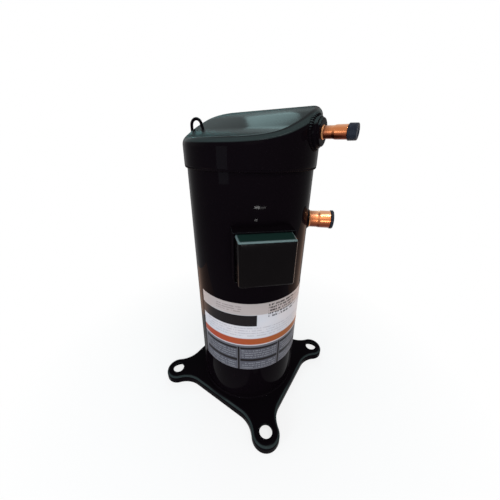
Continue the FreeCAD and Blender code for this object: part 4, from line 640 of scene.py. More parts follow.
def bare_label(base, stripe):
    """Bare satin vinyl with a generic layout of plain fields and broken rows.

    It lies on the label's own UV map, where u runs from left to right and v from bottom to top."""
    finish = Finish("Label vinyl", base, 0.34, IOR=1.12)
    place = finish.add("ShaderNodeUVMap", uv_map="Label").outputs[0]
    u, v = list(finish.split(place))[:2]
    wear = finish.noise(900.0, 2.0)
    cloud = finish.noise(30.0)

    def area(left, right, low, high, soft=0.002):
        return finish.times(finish.band(u, left, right, soft), finish.band(v, low, high, soft))

    def field(below, above, left, right, low, high, soft=0.002):
        return finish.blend(area(left, right, low, high, soft), below, above)

    def rows(below, above, left, right, low, high, count, fill, strength, grain):
        phase = finish.calc("FRACT", finish.spread(v, low, high, 0.0, float(count)))
        runs = finish.noise(1.0, 1.0, finish.mapped(place, (grain, 0.5 * count / (high - low), 1)))
        line = finish.band(phase, 0.5 - fill / 2, 0.5 + fill / 2, 0.08)
        broken = finish.times(line, finish.spread(runs, 0.42, 0.50))
        mask = finish.times(area(left, right, low, high), broken)
        return finish.blend(finish.times(mask, strength), below, above)

    # A field has left, right, low and high as shares of the label; rows add count, fill, strength, grain.
    ink, grey, pale = (0.010, 0.008, 0.009), (0.070, 0.070, 0.085), (0.20, 0.20, 0.22)
    beyond = (-0.1, 1.1)
    face = finish.blend(finish.spread(cloud, 0.35, 0.65), base, (0.47, 0.48, 0.52))
    face = field(face, (0.37, 0.32, 0.31), *beyond, 0.850, 1.1)
    face = rows(face, (0.16, 0.13, 0.13), 0.16, 0.36, 0.88, 0.97, 3, 0.45, 0.6, 60)
    face = rows(face, ink, 0.56, 0.80, 0.790, 0.985, 5, 0.62, 0.85, 110)
    face = rows(face, (0.12, 0.11, 0.12), 0.80, 0.95, 0.80, 0.975, 4, 0.6, 0.6, 70)
    face = field(face, ink, -0.1, 0.475, 0.693, 0.845)
    face = rows(face, (0.22, 0.20, 0.24), 0.06, 0.90, 0.535, 0.680, 4, 0.40, 0.45, 90)
    warmth = finish.blend(finish.spread(u, 0.15, 0.85), stripe, (0.25, 0.080, 0.018))
    face = field(face, warmth, *beyond, 0.412, 0.508, soft=0.008)
    face = field(face, (0.105, 0.102, 0.118), *beyond, -0.1, 0.400)
    for left, right in ((0.02, 0.325), (0.350, 0.660), (0.685, 0.985)):
        face = field(face, grey, left, right, 0.020, 0.375)
        for low, high, count in ((0.190, 0.330, 4), (0.015, 0.125, 3)):
            face = rows(face, pale, left + 0.01, right - 0.01, low, high, count, 0.42, 0.75, 90)
        face = field(face, ink, right + 0.004, right + 0.021, 0.0, 0.375)
        for low, high in ((0.338, 0.366), (0.140, 0.180)):
            face = field(face, ink, left, right, low, high)
    face = finish.blend(finish.spread(wear, 0.62, 0.75, 0, 0.10), face, (0.20, 0.20, 0.21))
    return finish.wear(face, finish.spread(cloud, 0.3, 0.7, 0.28, 0.42), finish.bump(cloud, 0.05, 0.001))


# ---------------------------------------------------------------- shell and cap

def roof_height(uphill, sizes):
    """Height of the roof at a distance uphill of the axis.

    It is a level shelf, a concave arc, a ramp, a convex arc and a plateau, each touching the next."""
    ramp, plateau = sizes.roof_ramp, sizes.roof_plateau
    shelf, dip, crown = sizes.roof_shelf, sizes.valley_radius, sizes.crest_radius
    valley, crest = -sizes.roof_valley, sizes.roof_crest
    foot_run = dip * math.tan(ramp / 2)
    head_run = crown * math.tan((ramp - plateau) / 2)
    shelf_end = valley - foot_run
    ramp_start = valley + foot_run * math.cos(ramp)
    ramp_end = crest - head_run * math.cos(ramp)
    plateau_start = crest + head_run * math.cos(plateau)
    plateau_foot = shelf + math.tan(ramp) * (crest - valley) + head_run * math.sin(plateau)
    crown_place = plateau_start + crown * math.sin(plateau)
    crown_centre = plateau_foot - crown * math.cos(plateau)
    concave = shelf + dip - np.sqrt(np.maximum(dip**2 - (uphill - shelf_end) ** 2, 0))
    convex = crown_centre + np.sqrt(np.maximum(crown**2 - (uphill - crown_place) ** 2, 0))
    return np.select(
        [uphill < shelf_end, uphill < ramp_start, uphill < ramp_end, uphill < plateau_start],
        [np.full_like(uphill, shelf), concave, shelf + math.tan(ramp) * (uphill - valley), convex],
        plateau_foot + math.tan(plateau) * (uphill - plateau_start),
    )


def cap_skin(sizes, inset):
    """One skin of the cap from its lower edge up: a straight wall, an arc, and the roof in to the axis.

    At each azimuth the arc touches both the wall and the roof's slope there."""
    around = full_turn(288)
    uphill = np.cos(around - sizes.roof_azimuth)
    radius, ease = sizes.cap_radius - inset, sizes.rim_radius - inset
    centre, bottom = radius - ease, sizes.cap_bottom
    probe = 0.0005
    nearer, farther = (roof_height((centre + step) * uphill, sizes) for step in (-probe, probe))
    slope = (farther - nearer) / (2 * probe)
    spring = roof_height(centre * uphill, sizes) - inset - ease * np.sqrt(1 + slope**2)
    lip = CAP_LIP if inset == 0 else 0.0
    share = np.concatenate([[0.0], np.linspace(0.01, 1, 9)])[:, None]
    wall_radius = np.full((len(share), len(around)), radius)
    wall_radius[0] -= lip
    wall_height = bottom + lip * (share > 0) + (spring - bottom - lip) * share
    sweep = np.linspace(0, 1, 15)[1:, None] * np.arctan2(1, -slope)
    arc_radius = centre + ease * np.cos(sweep)
    arc_height = spring + ease * np.sin(sweep)
    mend = arc_height[-1] - roof_height(arc_radius[-1] * uphill, sizes) + inset
    share = np.cos(np.linspace(0, 1, 49)[1:, None] * QUARTER)
    share[-1] = 0.0
    roof_radius = arc_radius[-1] * share
    roof = roof_height(roof_radius * uphill, sizes) - inset + mend * share**8
    heights = np.concatenate([wall_height, arc_height, roof])
    return about_axis(np.concatenate([wall_radius, arc_radius, roof_radius]), around, heights)


def build_shell(sizes, paint):
    """The rolled shell: a tube with a pressed flat behind the wiring box, and its upright seam weld."""
    around = full_turn(360)
    outer = sizes.shell_radius
    steps = sizes.box_height + np.outer([-1, 1], [FLAT_RISE, FLAT_RISE + FLAT_EDGE]).ravel()
    heights = np.unique(np.concatenate([np.linspace(sizes.shell_bottom, sizes.shell_top, 24), steps]))
    from_box = around - sizes.box_azimuth
    facing_box = np.cos(from_box) > 0.5
    behind_box = facing_box & (np.abs(FLAT_REACH * np.tan(from_box)) < FLAT_HALF)
    flat = FLAT_REACH / np.where(facing_box, np.cos(from_box), 1)
    pressed = np.where(behind_box, np.minimum(flat, outer), outer)
    in_flat = np.abs(heights - sizes.box_height) < FLAT_RISE + FLAT_EDGE / 2
    wall = np.where(in_flat[:, None], pressed, outer)
    radius = np.concatenate([wall, np.full((2, len(around)), sizes.shell_bore)])
    height = np.concatenate([heights, [sizes.shell_top, sizes.shell_bottom]])[:, None]
    tube = surface(about_axis(radius, around, height), wrap_rows=True)
    piece = add_painted("painted_shell", paint, [tube])
    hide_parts("center_shell")

    outward, sideways = headings(sizes.seam_azimuth)
    sunk, thickness, dabs, over_base, under_cap = 0.0009, 0.0015, 150, 0.004, 0.003
    height = np.linspace(sizes.shell_bottom + over_base, sizes.cap_bottom - under_cap, 1100)
    path = outward * (outer - sunk) + upright(height)
    add_painted("shell_seam_weld", paint, [bead(path, sideways, outward, thickness, dabs, closed=False)])


def build_cap(sizes, paint):
    """The drawn cap with its ramped roof, and the weld that ties its skirt to the shell."""
    points = np.concatenate([cap_skin(sizes, sizes.cap_wall)[::-1], cap_skin(sizes, 0.0)])
    piece = add_painted("painted_cap", paint, [surface(points)])
    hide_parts("top_cap")
    proud, below, thickness, dabs = 0.0008, 0.0003, 0.0019, 190
    weld = round_bead(sizes.shell_radius + proud, sizes.cap_bottom - below, thickness, dabs)
    add_painted("cap_weld", paint, [weld])


# ---------------------------------------------------------------- base

def base_half_side(sizes, steps=12):
    """Half a side of the base's outline, its outward normals, and the angle at which the ear begins.

    It is a straight run, then an arc that touches the run and the ear's circle."""
    centre = sizes.hole_spacing / 2
    blend_x = sizes.side_reach + sizes.ear_blend
    blend_y = centre - math.sqrt((sizes.ear_radius + sizes.ear_blend) ** 2 - (blend_x - centre) ** 2)
    lean = math.atan2(blend_y - centre, blend_x - centre)
    run = np.linspace(0, blend_y, steps + 1)[:-1]
    straight = np.stack([np.full_like(run, sizes.side_reach), run], -1)
    facing = np.broadcast_to([1.0, 0.0], straight.shape)
    waist = circle(np.linspace(math.pi, math.pi + lean, steps + 1)[:-1])
    points = np.concatenate([straight, np.array([blend_x, blend_y]) + sizes.ear_blend * waist])
    return points, np.concatenate([facing, -waist]), lean


def all_round(half, ear):
    """Half a side, an ear and the half mirrored about the ear's diagonal, carried round four corners."""
    quarter = np.concatenate([half, ear, half[::-1, ::-1][:-1]])
    x, y = quarter[:, 0], quarter[:, 1]
    return np.concatenate([np.stack(pair, -1) for pair in ((x, y), (-y, x), (-x, -y), (y, -x))])


def with_height(plan, height):
    """Plan points lifted to a height."""
    return np.concatenate([plan, np.broadcast_to(height, plan.shape[:-1] + (1,))], -1)


def build_base(sizes, paint):
    """The pressed base with the weld at the shell's foot.

    The turned-down rim is carried round the outline, each ear is a ring round its hole, webs are ruled
    from the rim to a circle under the shell's wall, and the middle is dished."""
    half, facing, lean = base_half_side(sizes)
    centre = sizes.hole_spacing / 2
    bend, gauge, top = sizes.base_bend, sizes.base_gauge, sizes.base_top
    under = top - gauge
    turn = np.linspace(0, QUARTER, 9)

    def bent(radius, angles):
        return np.stack([bend - radius * np.sin(angles), top - bend + radius * np.cos(angles)], -1)

    lower_edge = [[0, BASE_EDGE * 3], [0, 0], [gauge, 0], [gauge, BASE_EDGE * 3]]
    profile = np.concatenate([
        bent(bend, turn),
        rounded(lower_edge, BASE_EDGE, 5, closed=False),
        bent(bend - gauge, turn[::-1]),
    ])
    ear_turn = np.linspace(lean, QUARTER - lean, 33)
    ear_face = circle(ear_turn)
    outline = all_round(half, centre + sizes.ear_radius * ear_face)
    normals = all_round(facing, ear_face)
    rim = outline - normals * profile[:, None, :1]
    surfaces = [surface(with_height(rim, profile[:, None, 1:]))]

    back_turn = np.linspace(lean, QUARTER - lean - TURN, 23)
    ear = sizes.ear_radius - bend
    boundary = all_round(half - facing * bend, centre + ear * circle(back_turn))
    azimuths = np.arctan2(boundary[:, 1], boundary[:, 0])
    under_wall = 0.001
    web_end = sizes.shell_bore + under_wall
    for height in (top, under):
        surfaces.append(surface(with_height(np.stack([boundary, web_end * circle(azimuths)]), height)))

    hole, lap = sizes.hole_radius, 0.001
    inside = ear - lap
    ring_turn = np.concatenate([ear_turn[:-1], (back_turn[::-1] + TURN)[:-1]])
    wall = rounded([[inside, top], [hole, top], [hole, under], [inside, under]], BASE_EDGE, 5, closed=False)
    ring_profile = np.concatenate([[[ear, top]], wall, [[ear, under]]])
    for x, y in ((1, 1), (-1, 1), (-1, -1), (1, -1)):
        ring = turned(ring_profile, ring_turn + math.atan2(y, x) - math.pi / 4)
        surfaces.append(surface(ring + np.array([x * centre, y * centre, 0])))

    fit_gap, land_width, rise, drop = 0.00015, 0.007, 0.007, 0.005
    hub = sizes.shell_bore - fit_gap
    land, crown, floor, sump = hub - land_width, top + rise, top - drop, sizes.sump_radius
    dish = rounded(
        [
            (web_end, top), (hub, top), (hub, crown), (land, crown), (sump, floor), (0, floor),
            (0, floor - gauge), (sump - gauge / 2, floor - gauge), (land - gauge / 2, crown - gauge),
            (hub - gauge, crown - gauge), (hub - gauge, under), (web_end, under),
        ],
        [0, 0, 0.002, 0.003, 0.004, 0, 0, 0.004, 0.003, 0.001, 0.001, 0],
        6,
        closed=False,
    )
    surfaces.append(surface(turned(dish, azimuths)))
    piece = add_painted("painted_base", paint, surfaces)
    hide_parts("base_plate")
    proud, raised, thickness, dabs = 0.0006, 0.0006, 0.0026, 170
    weld = round_bead(sizes.shell_radius + proud, top + raised, thickness, dabs)
    add_painted("base_weld", paint, [weld])


# ---------------------------------------------------------------- lug

def build_lug(sizes, paint):
    """The lifting lug: a rod up the wall, over a half circle and down to the roof, with two welds."""
    rod, inner = sizes.lug_rod, sizes.lug_inner
    outer = sizes.cap_radius + rod
    arch = (outer - inner) / 2
    spring = sizes.lug_top - rod - arch
    turn = np.linspace(0, math.pi, 33)
    up = np.linspace(sizes.lug_foot, spring, 12)[:-1]
    into_roof = 0.002
    down = np.linspace(spring, sizes.roof_shelf - into_roof, 10)[1:]
    over = inner + arch + arch * np.cos(turn)
    reach = np.concatenate([np.full_like(up, outer), over, np.full_like(down, inner)])
    height = np.concatenate([up, spring + arch * np.sin(turn), down])
    outward, sideways = headings(sizes.lug_azimuth)
    ahead = unit(np.gradient(np.stack([reach, height], -1), axis=0))
    across = ahead[:, 1:] * outward - ahead[:, :1] * UP
    path = reach[:, None] * outward + upright(height)
    around = full_turn(20)
    skin = path[:, None] + rod * spokes(around, across[:, None], sideways)
    tips = np.repeat(path[[0, -1], None], len(around), 1)
    points = np.concatenate([tips[:1], skin, tips[1:]])
    piece = add_painted("painted_lug", paint, [surface(points)], crease=50)
    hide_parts("lifting_lug")

    proud, beside, thickness, dabs = 0.0006, rod * 0.95, 0.0014, 12
    over_foot, under_roof = 0.0005, 0.009
    leg = upright(np.linspace(sizes.lug_foot + over_foot, sizes.roof_shelf - under_roof, 160))
    welds = []
    for sign in (-1, 1):
        path = outward * (sizes.cap_radius + proud) + sign * beside * sideways + leg
        welds.append(bead(path, sideways, outward, thickness, dabs, closed=False, sides=12))
    add_painted("lug_welds", paint, welds)


# ---------------------------------------------------------------- stubs and plugs

def add_stub(name, azimuth, height, tube, bell, wall, start, reach, socket, copper):
    """A copper stub: a thin tube whose profile steps out smoothly to a swaged socket at its end."""
    root_edge, swage, bend, mouth_edge = 0.0002, 0.003, 0.003, wall * 0.45
    flare = reach - socket
    neck = flare - swage
    profile = rounded(
        [
            (start, tube - wall), (start, tube), (neck, tube), (flare, bell), (reach, bell),
            (reach, bell - wall), (flare, bell - wall), (neck, tube - wall),
        ],
        [root_edge, root_edge, bend, bend, mouth_edge, mouth_edge, bend, bend],
    )
    piece = add_piece(
        "copper_%s_stub" % name, "shell", copper, revolved(profile, azimuth, height, 96)
    )
    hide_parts("%s_tube" % name)


def braze_profile(start, tube, heap, shoulder, toe, ease):
    """Section of a ring of braze round a tube: steep where it starts, with a long toe."""
    overlap, crest = 0.0002, 0.001
    sunk = tube - overlap
    corners = [(start, sunk), (start, tube + heap), (start + crest, tube + shoulder), (start + toe, sunk)]
    return rounded(corners, [0, ease, ease + 0.0002, 0])


def plug_profile(reach, bell, wall, length, front, back, roll, dish, floor, depth, ease):
    """Half the section of a plug: a shank inside the socket, and a head of two radii with a dished face."""
    fit_gap, seat_gap, shank_length, lead_in, taper = 0.00008, 0.0003, 0.009, 0.0015, 0.00075
    shank, seat = bell - wall - fit_gap, reach + seat_gap
    tip, end = seat - shank_length, seat + length
    return rounded(
        [
            (tip, 0), (tip, shank - taper), (tip + lead_in, shank), (seat, shank), (seat, bell + front),
            (end, bell + back), (end, dish), (end - depth, floor), (end - depth, 0),
        ],
        [0, 0.0005, 0.0005, 0, 0.0006, roll, ease, ease - 0.0001, 0],
        closed=False,
    )


def build_discharge(sizes, paint, copper, rubber, alloy):
    """The discharge fitting with its collar and weld, the copper stub, and the tall plug in its socket."""
    height, reach, bell = sizes.discharge_height, sizes.discharge_reach, sizes.discharge_bell
    swell, wall = 0.00065, 0.00075
    tube = bell - swell
    root, seat, socket, mouth = 0.062, 0.0706, 0.0805, 0.0925
    bore, barrel, collar = 0.011, 0.0142, 0.0165
    collar_start, collar_end = 0.0745, 0.090
    fitting = rounded(
        [
            (root, bore), (root, barrel), (collar_start, barrel), (collar_start, collar),
            (collar_end, collar), (collar_end, barrel), (mouth, barrel), (mouth, tube),
            (socket, tube), (socket, tube - wall), (seat, tube - wall), (seat, bore),
        ],
        [0.0005, 0.0005, 0, 0, 0.0022, 0.0006, 0.0009, 0.0006, 0, 0, 0, 0.0005],
    )
    piece = add_painted("painted_discharge_fitting", paint, revolved(fitting, 0.0, height, 96))
    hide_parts("discharge_fitting")
    sunk, weld_radius, overlap, swaged = 0.0004, 0.0170, 0.0004, 0.012
    weld = seam_on_cylinder(0.0, height, sizes.cap_radius - sunk, weld_radius, thickness=0.0021, dabs=44)
    add_painted("discharge_weld", paint, [weld])
    add_stub("discharge", 0.0, height, tube, bell, wall, socket, reach, swaged, copper)
    ring = braze_profile(mouth - overlap, tube, heap=0.0011, shoulder=0.0007, toe=0.0020, ease=0.0005)
    add_piece("discharge_braze", "shell", alloy, revolved(ring, 0.0, height))
    plug = plug_profile(
        reach, bell, wall, length=0.009, front=0.00105, back=0.00085, roll=0.0011,
        dish=0.0055, floor=0.0047, depth=0.0008, ease=0.0005,
    )
    head = surface(turned_outwards(plug, 0.0, height))
    piece = add_piece("soft_discharge_plug", "discharge_cap", rubber, [head])
    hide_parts("discharge_plug")


def build_suction(sizes, paint, copper, rubber, alloy):
    """The suction collar with its weld, the copper stub and the flat plug."""
    turn, height = sizes.suction_azimuth, sizes.suction_height
    reach, bell = sizes.suction_reach, sizes.suction_bell
    swell, wall = 0.0006, 0.0009
    tube = bell - swell
    root, mouth, barrel = 0.0770, 0.08455, 0.0130
    collar = rounded(
        [(root, tube), (root, barrel), (mouth, barrel), (mouth, tube)], [0.0003, 0.0003, 0.0009, 0.0004]
    )
    piece = add_painted("painted_suction_collar", paint, revolved(collar, turn, height, 96))
    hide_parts("suction_fitting")
    sunk, weld_radius, overlap, inside, swaged = 0.0002, 0.0131, 0.00035, 0.002, 0.014
    weld = seam_on_cylinder(turn, height, sizes.shell_radius - sunk, weld_radius, thickness=0.0013, dabs=38)
    add_painted("suction_weld", paint, [weld])
    add_stub("suction", turn, height, tube, bell, wall, sizes.shell_bore - inside, reach, swaged, copper)
    ring = braze_profile(mouth - overlap, tube, heap=0.0009, shoulder=0.0006, toe=0.0022, ease=0.0004)
    add_piece("suction_braze", "shell", alloy, revolved(ring, turn, height))
    plug = plug_profile(
        reach, bell, wall, length=0.004, front=0.0009, back=0.0008, roll=0.0010,
        dish=0.0085, floor=0.0078, depth=0.0006, ease=0.0004,
    )
    head = surface(turned_outwards(plug, turn, height))
    piece = add_piece("soft_suction_plug", "suction_cap", rubber, [head])
    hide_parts("suction_plug")


# ---------------------------------------------------------------- wiring box and label

def build_box(sizes, paint, plastic):
    """The wiring box: the fence with softened edges, and the hollow cover.

    The cover is a stack of rounded rectangles that narrow towards the front and roll over into the face."""
    softened("painted_fence", "terminal_fence", "shell", paint, FENCE_EDGE)
    outward, sideways = headings(sizes.box_azimuth)
    corner, draft, wall = sizes.cover_round, math.tan(sizes.cover_draft), sizes.cover_wall
    rear, face = sizes.cover_rear, sizes.cover_face
    depth = face - rear
    straight = depth - corner

    def layer(out, shrink, radius):
        half, rise = sizes.cover_half - shrink, sizes.cover_rise - shrink
        loop = rounded([(half, -rise), (half, rise), (-half, rise), (-half, -rise)], radius, 7)
        return out * outward + loop[:, :1] * sideways + upright(sizes.box_height + loop[:, 1])

    chamfer, chamfer_run, rolled_corner = 0.0003, 0.0005, 0.0004
    outer = [layer(rear + chamfer, chamfer, corner), layer(rear + chamfer + chamfer_run, 0.0, corner)]
    outer += [layer(rear + out, out * draft, corner) for out in np.linspace(0.05, 1, 6) * straight]
    for turn in np.linspace(0, QUARTER, 9)[1:]:
        out, rolled = corner * math.sin(turn), corner * math.cos(turn)
        outer.append(layer(face - corner + out, straight * draft + corner - rolled, rolled + rolled_corner))
    front = outer[-1]
    centre = outward * face + UP * sizes.box_height
    outer += [centre + (front - centre) * share for share in (0.8, 0.5, 0.2, 0.0)]
    inner = [centre - outward * wall + (front - centre) * share * 0.93 for share in (0.0, 0.5, 0.95)]
    inner_corner = max(corner - wall, 0.001)
    for out in np.linspace(depth - wall - 0.001, chamfer, 6):
        inner.append(layer(rear + out, wall + out * draft, inner_corner))
    inner += [layer(rear, wall - chamfer, inner_corner), layer(rear, 2 * chamfer, corner)]
    skin = surface(np.stack(inner + outer))
    piece = add_piece("moulded_cover", "box_cover", plastic, [skin], crease=40)
    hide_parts("terminal_cover")


def build_label(sizes, vinyl):
    """The bare label: a thin curved sheet, closed on all sides.

    Its UV map runs from its left to its right edge and from bottom to top."""
    around = np.linspace(sizes.label_start, sizes.label_start + sizes.label_sweep, 181)
    inner = sizes.shell_radius + LABEL_LIFT
    outer = inner + LABEL_GAUGE
    low, high = sizes.label_bottom, sizes.label_top
    points = turned([(inner, low), (outer, low), (outer, high), (inner, high)], around)
    ends = np.arange(4) * len(around)
    caps = np.stack([ends, ends + len(around) - 1])
    quads = np.concatenate([grid_faces(4, len(around), wrap_rows=True, wrap_columns=False), caps])
    sheet = (points.reshape(-1, 3), quads)
    piece = add_piece("bare_label", "shell", vinyl, [sheet], crease=30)
    mesh = piece.data
    place = np.empty(len(mesh.vertices) * 3)
    mesh.vertices.foreach_get("co", place)
    x, y, z = place.reshape(-1, 3).T
    corner = np.empty(len(mesh.loops), int)
    mesh.loops.foreach_get("vertex_index", corner)
    turn = (np.arctan2(y, x) - sizes.label_start) % TURN
    u = np.where(turn > math.pi * 1.9, turn - TURN, turn) / sizes.label_sweep
    v = (z - low) / (high - low)
    layer = mesh.uv_layers.new(name="Label")
    layer.uv.foreach_set("vector", np.stack([u, v], -1)[corner].astype(np.float32).ravel())
    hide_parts("wrap_label")


# ---------------------------------------------------------------- frame nodes

FRAME_FINISHES = {
    "bright_steel": lambda: machined("Bright steel", (0.58, 0.58, 0.60), 0.26),
    "grey_iron": lambda: cast_metal("Grey iron", (0.30, 0.30, 0.31), 0.5),
    "sintered_iron": lambda: cast_metal("Sintered iron", (0.36, 0.35, 0.34), 0.46, 1500.0, 0.0002),
    "die_cast_aluminium": lambda: cast_metal("Die cast aluminium", (0.70, 0.71, 0.73), 0.38, 500.0, 0.0003),
    "lamination_steel": stacked_laminations,
    "winding_copper": wound_wire,
    "bearing_bronze": lambda: machined("Bearing bronze", (0.62, 0.42, 0.20), 0.3),
    "seal_polymer": lambda: matte_polymer("Seal polymer", (0.15, 0.13, 0.11)),
    "bead_glass": bead_glass,
    "lead_insulation": lambda: matte_polymer("Lead insulation", (0.50, 0.06, 0.045), 0.42),
    "screw_green": lambda: matte_polymer("Screw green", (0.03, 0.24, 0.09), 0.3, 600.0),
    "protector_case": lambda: matte_polymer("Protector case", (0.07, 0.07, 0.075), 0.45),
}


def finish_frame_nodes():
    """Gives every frame node that stays its slot's procedural finish."""
    slots = {part["node"]: part["material_slot"] for part in frame["record"]["subparts"]}
    finishes = {slot: make() for slot, make in FRAME_FINISHES.items()}
    for name, node in frame["nodes"].items():
        if slots[name] in finishes:
            node.data.materials.clear()
            node.data.materials.append(finishes[slots[name]])


# ---------------------------------------------------------------- stage

def build_camera():
    """A wide camera close to the part, which looks down on it from the front right."""
    pitch, roll, yaw, azimuth = 0.433, -0.013, 0.002, math.radians(33.3)
    distance, height = 0.32273, 0.39893
    forward = np.array([math.sin(yaw) * math.cos(pitch), math.cos(yaw) * math.cos(pitch), -math.sin(pitch)])
    level = np.array([math.cos(yaw), -math.sin(yaw), 0.0])
    down = np.cross(forward, level)
    right = math.cos(roll) * level + math.sin(roll) * down
    down = math.cos(roll) * down - math.sin(roll) * level
    spin = np.stack([*headings(azimuth), UP], 1)
    matrix = np.eye(4)
    matrix[:3, :3] = spin @ np.stack([right, -down, -forward], 1)
    matrix[:3, 3] = spin @ np.array([0.0, -distance, height])
    data = bpy.data.cameras.new("Camera")
    data.lens, data.sensor_width = 16.226, 36.0
    data.clip_start = 0.01
    camera = bpy.data.objects.new("Camera", data)
    camera.matrix_world = Matrix(matrix.tolist())
    bpy.context.scene.collection.objects.link(camera)
    bpy.context.scene.camera = camera


def area_lamp(name, place, aim, width, height, power, tint=(1, 1, 1)):
    """A soft rectangular lamp that faces a point and that the camera doesn't see."""
    light = bpy.data.lights.new(name, "AREA")
    light.shape = "RECTANGLE"
    light.size, light.size_y = width, height
    light.energy = power
    light.color = tint
    lamp = bpy.data.objects.new(name, light)
    lamp.location = place
    lamp.rotation_euler = (Vector(aim) - Vector(place)).to_track_quat("-Z", "Y").to_euler()
    lamp.visible_camera = False
    bpy.context.scene.collection.objects.link(lamp)


def build_lamps():
    """A key and a fill, teal lamps behind and narrow ones in front, and two warm ones by the floor.

    The gloss paint mirrors each of them as a patch or a line."""
    teal, warm = (0.30, 0.98, 1.0), (1.0, 0.42, 0.16)
    area_lamp("Key", (0.9, -1.3, 1.3), (0, 0, 0.2), 0.8, 0.8, 3.8)
    area_lamp("Fill", (-1.3, -0.7, 0.9), (0, 0, 0.25), 0.9, 0.9, 1.2, (0.9, 0.97, 1.0))
    area_lamp("Front high strip", (0.57, -0.24, 1.3), (0.079, -0.083, 0.313), 0.6, 0.14, 6.5)
    area_lamp("Rear wall", (-0.95, 1.25, 1.35), (0, 0, 0.43), 1.3, 0.8, 1.1, teal)
    area_lamp("Rear centre", (-0.86, 1.22, 1.44), (0, 0, 0.43), 0.40, 0.24, 1.3, (0.62, 0.98, 1.0))
    area_lamp("Rear low strip", (-0.80, 1.05, 0.78), (0, 0, 0.32), 1.0, 0.12, 2.0, teal)
    area_lamp("Front strip", (0.749, -0.744, 0.093), (0, 0, 0.34), 0.17, 0.011, 1.5)
    area_lamp("Front strip side", (0.860, -0.608, 0.093), (0, 0, 0.34), 0.19, 0.011, 0.4)
    area_lamp("Front low strip", (0.720, -0.754, 0.026), (0, 0, 0.32), 0.09, 0.010, 0.4)
    for share in (1.0, 0.7, 0.4):
        width, power = 0.36 * share, 2.6 * share
        area_lamp("Side panel", (-0.23, -1.12, 0.38), (0, 0, 0.36), width, 0.36, power, (0.8, 0.9, 1.0))
    area_lamp("Warm floor right", (0.36, 0.62, 0.004), (0.36, 0.62, 1.0), 0.5, 0.9, 1.8, warm)
    area_lamp("Warm floor left", (-0.34, -0.1, 0.004), (-0.34, -0.1, 1.0), 0.25, 0.36, 0.35, warm)


def seen_directly(tree):
    """1 for camera, glossy and transmission rays, 0 for the rest."""
    rays = tree.nodes.new("ShaderNodeLightPath").outputs
    total = rays["Is Camera Ray"]
    for name in ("Is Glossy Ray", "Is Transmission Ray"):
        node = tree.nodes.new("ShaderNodeMath")
        node.operation = "MAXIMUM"
        tree.links.new(total, node.inputs[0])
        tree.links.new(rays[name], node.inputs[1])
        total = node.outputs[0]
    return total


def pale_floor():
    """A matt floor that turns, away from the part, into an even glow for the rays that see it."""
    finish = Finish("Pale floor", (0.85, 0.85, 0.85), 0.9, Specular_IOR_Level=0.0)
    reach = finish.add("ShaderNodeVectorMath", {0: finish.place}, operation="LENGTH").outputs["Value"]
    fade = finish.spread(reach, 0.14, 0.42, 0.78, 1.0)
    share = finish.times(seen_directly(finish.tree), fade)
    glow = finish.add("ShaderNodeEmission").outputs[0]
    mix = finish.add("ShaderNodeMixShader", {0: share, 1: finish.shader.outputs[0], 2: glow})
    finish.feed(finish.tree.nodes["Material Output"].inputs[0], mix.outputs[0])
    return finish.material


def build_stage():
    """A round floor that keeps a soft shadow, a world that looks white but lights less, and the lamps."""
    radii = np.array([0.0, 0.3, 0.8, 2.0, 8.0])[:, None]
    vertices, quads = surface(about_axis(radii, full_turn(128), -0.0004 + 0 * radii))
    mesh = bpy.data.meshes.new("Floor")
    mesh.from_pydata(vertices.tolist(), [], quads.tolist())
    floor = bpy.data.objects.new("Floor", mesh)
    bpy.context.scene.collection.objects.link(floor)
    mesh.materials.append(pale_floor())

    world = bpy.data.worlds.new("White world")
    bpy.context.scene.world = world
    world.use_nodes = True
    tree = world.node_tree
    tree.nodes.clear()
    mix = tree.nodes.new("ShaderNodeMixShader")
    tree.links.new(seen_directly(tree), mix.inputs[0])
    lighting, shown = ((0.92, 0.97, 1.0, 1.0), 0.45), ((1.0, 1.0, 1.0, 1.0), 1.0)
    for socket, (tint, strength) in zip(list(mix.inputs)[1:], (lighting, shown)):
        background = tree.nodes.new("ShaderNodeBackground")
        background.inputs[0].default_value = tint
        background.inputs[1].default_value = strength
        tree.links.new(background.outputs[0], socket)
    tree.links.new(mix.outputs[0], tree.nodes.new("ShaderNodeOutputWorld").inputs[0])

    build_lamps()
    bpy.context.scene.view_settings.view_transform = "Standard"


# ---------------------------------------------------------------- operators

def paint_material(context):
    """The enamel that all painted steel shares."""
    found = bpy.data.materials.get("Gloss enamel")
    return found or enamel(tuple(context.scene.compressor_colours.paint))


class AddCamera(bpy.types.Operator):
    """Place the camera"""

    bl_idname = "compressor.add_camera"
    bl_label = "Camera"

    def execute(self, context):
        build_camera()
        return {"FINISHED"}


class AddShell(bpy.types.Operator):
    """Build the rolled shell and its upright seam weld"""

    bl_idname = "compressor.add_shell"
    bl_label = "Shell"

    def execute(self, context):
        build_shell(context.scene.compressor_sizes, paint_material(context))
        return {"FINISHED"}


class AddCap(bpy.types.Operator):
    """Build the drawn cap and the weld round its skirt"""

    bl_idname = "compressor.add_cap"
    bl_label = "Cap"

    def execute(self, context):
        build_cap(context.scene.compressor_sizes, paint_material(context))
        return {"FINISHED"}


class AddBase(bpy.types.Operator):
    """Build the pressed base and the weld at the shell's foot"""

    bl_idname = "compressor.add_base"
    bl_label = "Base"

    def execute(self, context):
        build_base(context.scene.compressor_sizes, paint_material(context))
        return {"FINISHED"}


class AddLug(bpy.types.Operator):
    """Build the lifting lug and its welds"""

    bl_idname = "compressor.add_lug"
    bl_label = "Lifting lug"

    def execute(self, context):
        build_lug(context.scene.compressor_sizes, paint_material(context))
        return {"FINISHED"}


